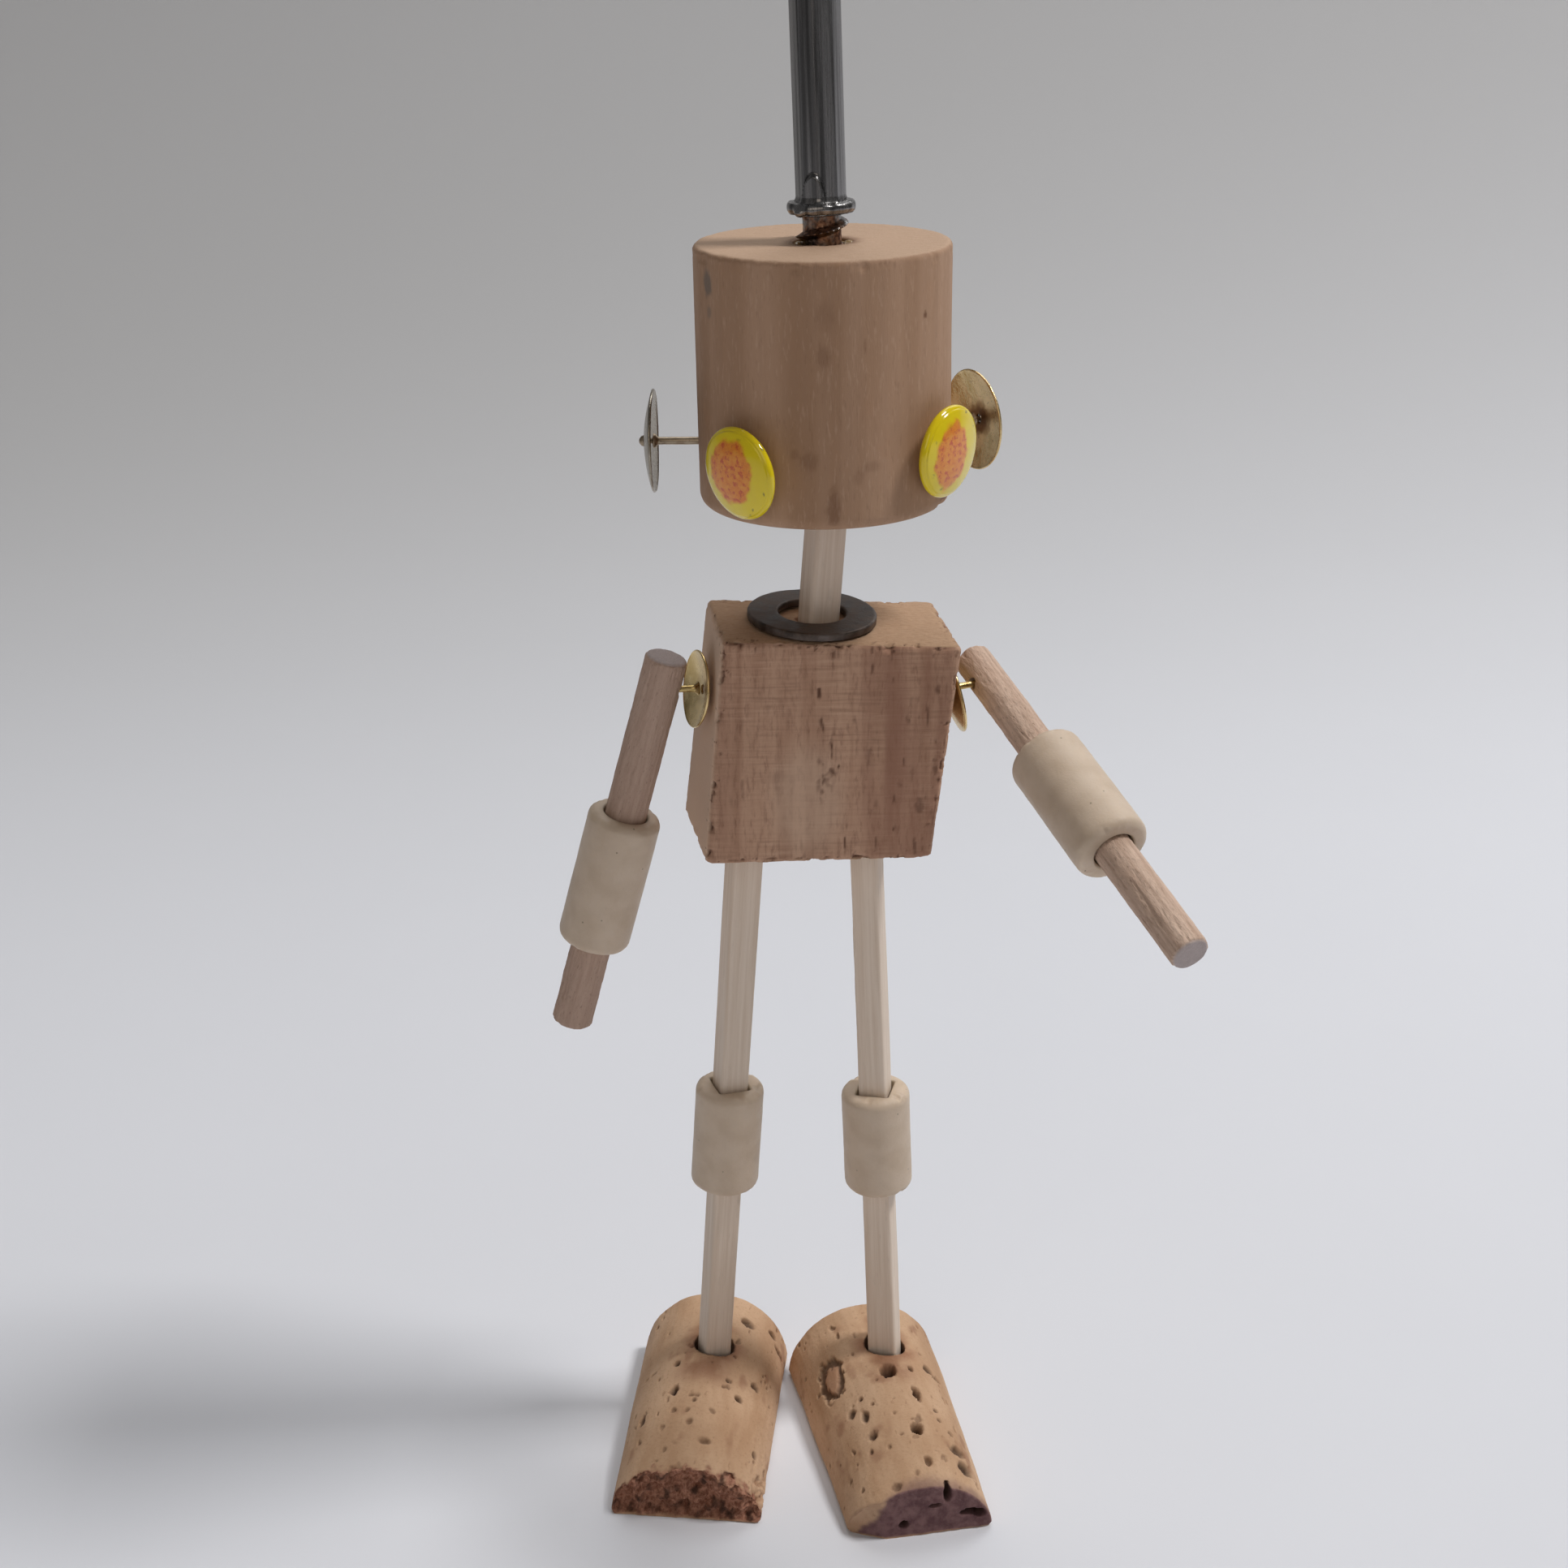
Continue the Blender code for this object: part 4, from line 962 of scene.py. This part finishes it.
def make_foot(side):
    node = side + "_foot_cork"
    frame = foot_axes(side)
    mesh = fine_mesh(node, frame, 0.2)
    p, n = read(mesh)
    x, y, z = p[:, 0], p[:, 1] - p[:, 1].min(), p[:, 2]
    seed = 201 if side == "right" else 241
    sole = ease(-0.5, -0.9, n[:, 2]) * ease(0.6, 0.1, z)
    barrel = ease(0.45, 0.1, np.abs(n[:, 1])) * (1 - sole)
    rise = (1 - sole) * (0.14 * fractal(p, (0.25, 0.12, 0.25), seed, 2) + 0.03 * fractal(p, 1.8, seed + 3))
    pit = np.zeros(len(p))
    wobble = 0.55 * fractal(p, 1.1, seed + 5, 3)
    for across, along, wide, long, deep in CORK_PITS[side]:
        off = np.hypot((x - across) / wide, (y - along) / long) + wobble
        hollow = ease(1.25, 0.45, off) * barrel * ease(1.0, 2.0, z)
        rise -= hollow * deep
        np.maximum(pit, hollow * min(1.0, 0.6 + 0.4 * deep), out=pit)
    small = ease(0.50, 0.62, fractal(p, (0.9, 0.7, 0.9), seed + 9, 2)) * barrel
    rise -= small * 0.3
    np.maximum(pit, small * 0.45, out=pit)
    stain = 0.5 * ease(0.25, 0.6, fractal(p, (0.35, 0.22, 0.35), seed + 13)) * barrel
    ahead = leg_offset(side, frame, p)
    from_leg = np.hypot(ahead[:, 0], ahead[:, 1])
    before = ease(-6.5, -2.0, -np.abs(ahead[:, 1] + 4.0)) * ease(5.5, 2.0, np.abs(ahead[:, 0] + 1.0))
    smudge = np.maximum(ease(6.0, 3.2, from_leg), 0.8 * before) * ease(-0.5, 0.3, fractal(p, 0.35, seed + 17))
    np.maximum(stain, 0.75 * smudge * barrel, out=stain)
    # painted shade: a dark ring at the edge of each leg's hole stands for the gap round the leg
    np.maximum(pit, 0.9 * ease(3.75, 3.35, from_leg + 0.25 * fractal(p, 1.0, seed + 19)), out=pit)
    shift = np.zeros_like(p)
    tight = -0.42 * ease(4.8, 3.5, from_leg) / np.maximum(from_leg, 1.0)
    shift[:, :2] = ahead * tight[:, None]
    torn, wine = np.zeros(len(p)), np.zeros(len(p))
    crumb = fractal(p, 0.62, seed + 23, 4)
    if side == "right":
        cut = 1.1 + 2.2 * np.maximum(crumb, -0.4) + 0.06 * z * (1 + fractal(p, 0.3, seed + 21))
        cut = cut * ease(-0.2, 1.0, z) + 0.4
        shift[:, 1] += np.maximum(cut - y, 0)
        torn = ease(0.9, -0.1, y - cut) * (1 - sole)
        shift[:, 2] += torn * ease(2.0, 7.0, z) * 0.7 * fractal(p, 0.8, seed + 25, 3)
        np.maximum(pit, torn * ease(-0.05, -0.5, fractal(p, 0.75, seed + 27, 4)) * 0.85, out=pit)
        ragged = ease(8.6, 10.6, x) * ease(12.5, 4.0, y) * ease(0.0, 0.5, fractal(p, 0.6, seed + 29))
        rise -= 1.1 * ragged
        np.maximum(stain, 0.5 * ragged, out=stain)
    else:
        cut = 0.65 + 0.16 * crumb + 0.06 * z + 0.5 * np.maximum(0, -x - 5.2 - 0.15 * z)
        shift[:, 1] += np.maximum(cut - y, 0)
        face = ease(0.55, 0.1, y - cut) * (1 - sole)
        edge = x + 3.9 + 0.75 * (7.4 - z) + 0.8 * fractal(p, 0.6, seed + 25)
        wine = face * (0.18 + 0.82 * ease(-0.5, 0.5, edge))
        rim = ease(2.6, 0.3, y - cut + 0.7 * fractal(p, 0.5, seed + 29)) * ease(-1.0, 2.0, edge)
        np.maximum(wine, 0.6 * rim * (1 - sole), out=wine)
        for across, high, wide, tall in WINE_CRACKS:
            off = np.hypot((x - across) / wide, (z - high) / tall) + 0.6 * wobble
            dark = ease(1.2, 0.6, off) * ease(1.6, 0.6, y - cut)
            shift[:, 1] += dark * 1.3
            np.maximum(pit, dark, out=pit)
        cx, cy, wide, long = CORK_RING
        ring = np.hypot((x - cx) / wide, (y - cy) / long) + 0.7 * wobble
        line = ease(0.34, 0.12, np.abs(ring - 0.8)) * barrel
        rise -= line * 0.5
        np.maximum(pit, line * 0.7, out=pit)
        np.maximum(stain, 0.45 * ease(1.0, 0.5, ring) * barrel, out=stain)
    move(mesh, p + n * rise[:, None] + shift)
    for name, values in (("pit", pit), ("stain", stain), ("torn", torn), ("wine", wine)):
        mark(mesh, name, values)
    link(side + "_foot", mesh, frame, side + "_foot", "cork", [node])


# ---------------------------------------------------------------- stage, light and camera


def make_stage():
    """A pale sheet that lies flat under the figure and sweeps up behind it."""
    half, near, bend, radius, top = 1.6, -1.0, 0.30, 0.45, 0.52
    line = [(near, 0.0), (0.0, 0.0), (bend, 0.0)]
    line += [(bend + radius * math.sin(a), radius - radius * math.cos(a))
             for a in np.linspace(0.08, math.pi / 2, 24)]
    line.append((bend + radius, top))
    verts = [(side * half, y, z) for y, z in line for side in (-1, 1)]
    faces = [(2 * k, 2 * k + 1, 2 * k + 3, 2 * k + 2) for k in range(len(line) - 1)]
    floor = bpy.data.objects.new("sweep", mesh_from("sweep", verts, faces))
    floor.data.materials.append(MATERIALS["paper"])
    bpy.context.scene.collection.objects.link(floor)


LIGHTS = (
    # name, place, aim, width, height, watts, colour
    ("window", (0.80, 0.04, 1.386), (0.0, 0.0, 0.03), 0.30, 0.30, 12.7, (1.0, 0.99, 0.985)),
    ("ceiling", (0.0, 1.2, 2.2), (0.0, 0.0, 0.0), 1.2, 1.2, 13.6, (0.97, 0.985, 1.0)),
    ("back", (0.5, 0.9, 0.9), (0.0, 0.0, 0.0), 0.6, 0.6, 1.6, (0.97, 0.985, 1.0)),
    ("room", (-0.35, -1.2, 0.75), (0.0, 0.0, 0.1), 0.9, 0.9, 2.3, (1.0, 0.885, 0.78)),
)
ROOM_GLOW, ROOM_COLOUR = 0.12, (0.99, 0.98, 0.98)


def make_lights():
    for name, place, aim, width, height, watts, colour in LIGHTS:
        lamp = bpy.data.lights.new(name, "AREA")
        lamp.shape, lamp.size, lamp.size_y = "RECTANGLE", width, height
        lamp.energy, lamp.color = watts, colour
        obj = bpy.data.objects.new(name, lamp)
        bpy.context.scene.collection.objects.link(obj)
        obj.location = place
        obj.rotation_euler = (Vector(aim) - Vector(place)).to_track_quat("-Z", "Y").to_euler()
    world = bpy.data.worlds.new("room")
    bpy.context.scene.world = world
    world.use_nodes = True
    glow = world.node_tree.nodes["Background"]
    glow.inputs["Color"].default_value = (*ROOM_COLOUR, 1.0)
    glow.inputs["Strength"].default_value = ROOM_GLOW


def make_camera():
    camera = bpy.data.cameras.new("camera")
    camera.lens, camera.sensor_width = CAMERA_LENS, CAMERA_SENSOR
    camera.clip_start = 0.01
    obj = bpy.data.objects.new("camera", camera)
    obj.location = CAMERA_PLACE
    obj.rotation_euler = (math.radians(90 - CAMERA_PITCH), 0.0, 0.0)
    bpy.context.scene.collection.objects.link(obj)
    bpy.context.scene.camera = obj
    bpy.context.scene.view_settings.view_transform = "Standard"


# ---------------------------------------------------------------- making it all

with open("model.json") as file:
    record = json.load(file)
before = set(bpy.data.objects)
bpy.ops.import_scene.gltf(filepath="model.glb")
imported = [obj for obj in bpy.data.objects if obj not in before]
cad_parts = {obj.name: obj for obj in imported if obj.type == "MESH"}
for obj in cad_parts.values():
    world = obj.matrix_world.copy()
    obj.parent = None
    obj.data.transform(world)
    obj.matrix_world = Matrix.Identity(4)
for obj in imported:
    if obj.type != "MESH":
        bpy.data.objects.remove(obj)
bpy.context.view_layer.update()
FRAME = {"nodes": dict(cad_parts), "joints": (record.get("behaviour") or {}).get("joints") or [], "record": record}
NODES = FRAME["nodes"]
JOINTS = {joint["name"]: joint for joint in FRAME["joints"]}
MOUNTS = {mount["name"]: mount for mount in FRAME["record"]["mounts"]}
EYE_WAY = {"right": Vector((-1.0, -1.0, 0.0)), "left": Vector((1.0, -1.0, 0.0))}
OUTWARD = {"right": Vector((-1.0, 0.0, 0.0)), "left": Vector((1.0, 0.0, 0.0))}
ROD_LINE = Vector(MOUNTS["rod_end"]["axis"]).normalized()
KNEE_HOLE = (2.18, 3.15)  # half the stick's side, and the hole's largest radius
ELBOW_HOLE = {"right": (0.0, 3.0), "left": (0.0, 2.72)}
ROD_LENGTH = 63.3  # from the collar's underside to the rod's end
ROD = axes(Vector(MOUNTS["rod_end"]["pos_m"]) / MM - ROD_LINE * ROD_LENGTH, ROD_LINE)
MATERIALS = {
    made.__name__: made()
    for made in (turned_wood, sawn_wood, stick_wood, dowel_wood, tube_plastic, brass, ear_brass, pin_steel,
                 gold_pin, yellow_enamel, washer_steel, rod_steel, cork, glue, paper)
}
make_camera()
make_stage()
make_lights()
make_head()
make_rod()
make_rod_glue()
make_stick("neck", "neck_stick", "head_turn", 171)
make_washer()
make_torso()
for side in SIDES:
    make_eye(side)
    make_eye_pin(side)
    make_shell(side + "_ear", side + "_ear_shell", OUTWARD[side], "head", 0.9, "ear_brass")
    make_ear_pin(side)
    inward = -Vector(JOINTS[side + "_shoulder"]["axis"])
    make_shell(side + "_tack", side + "_shoulder_shell", inward, "torso", 0.3, None)
    make_shoulder_pin(side)
    make_dowel(side)
    make_tube(side + "_elbow", side + "_elbow_tube", side + "_elbow", 301, 0.25, ELBOW_HOLE[side])
    make_stick(side + "_leg", side + "_leg_stick", side + "_knee_slide", 181)
    make_tube(side + "_knee", side + "_knee_tube", side + "_knee", 331, 0.35, KNEE_HOLE)
    make_foot(side)
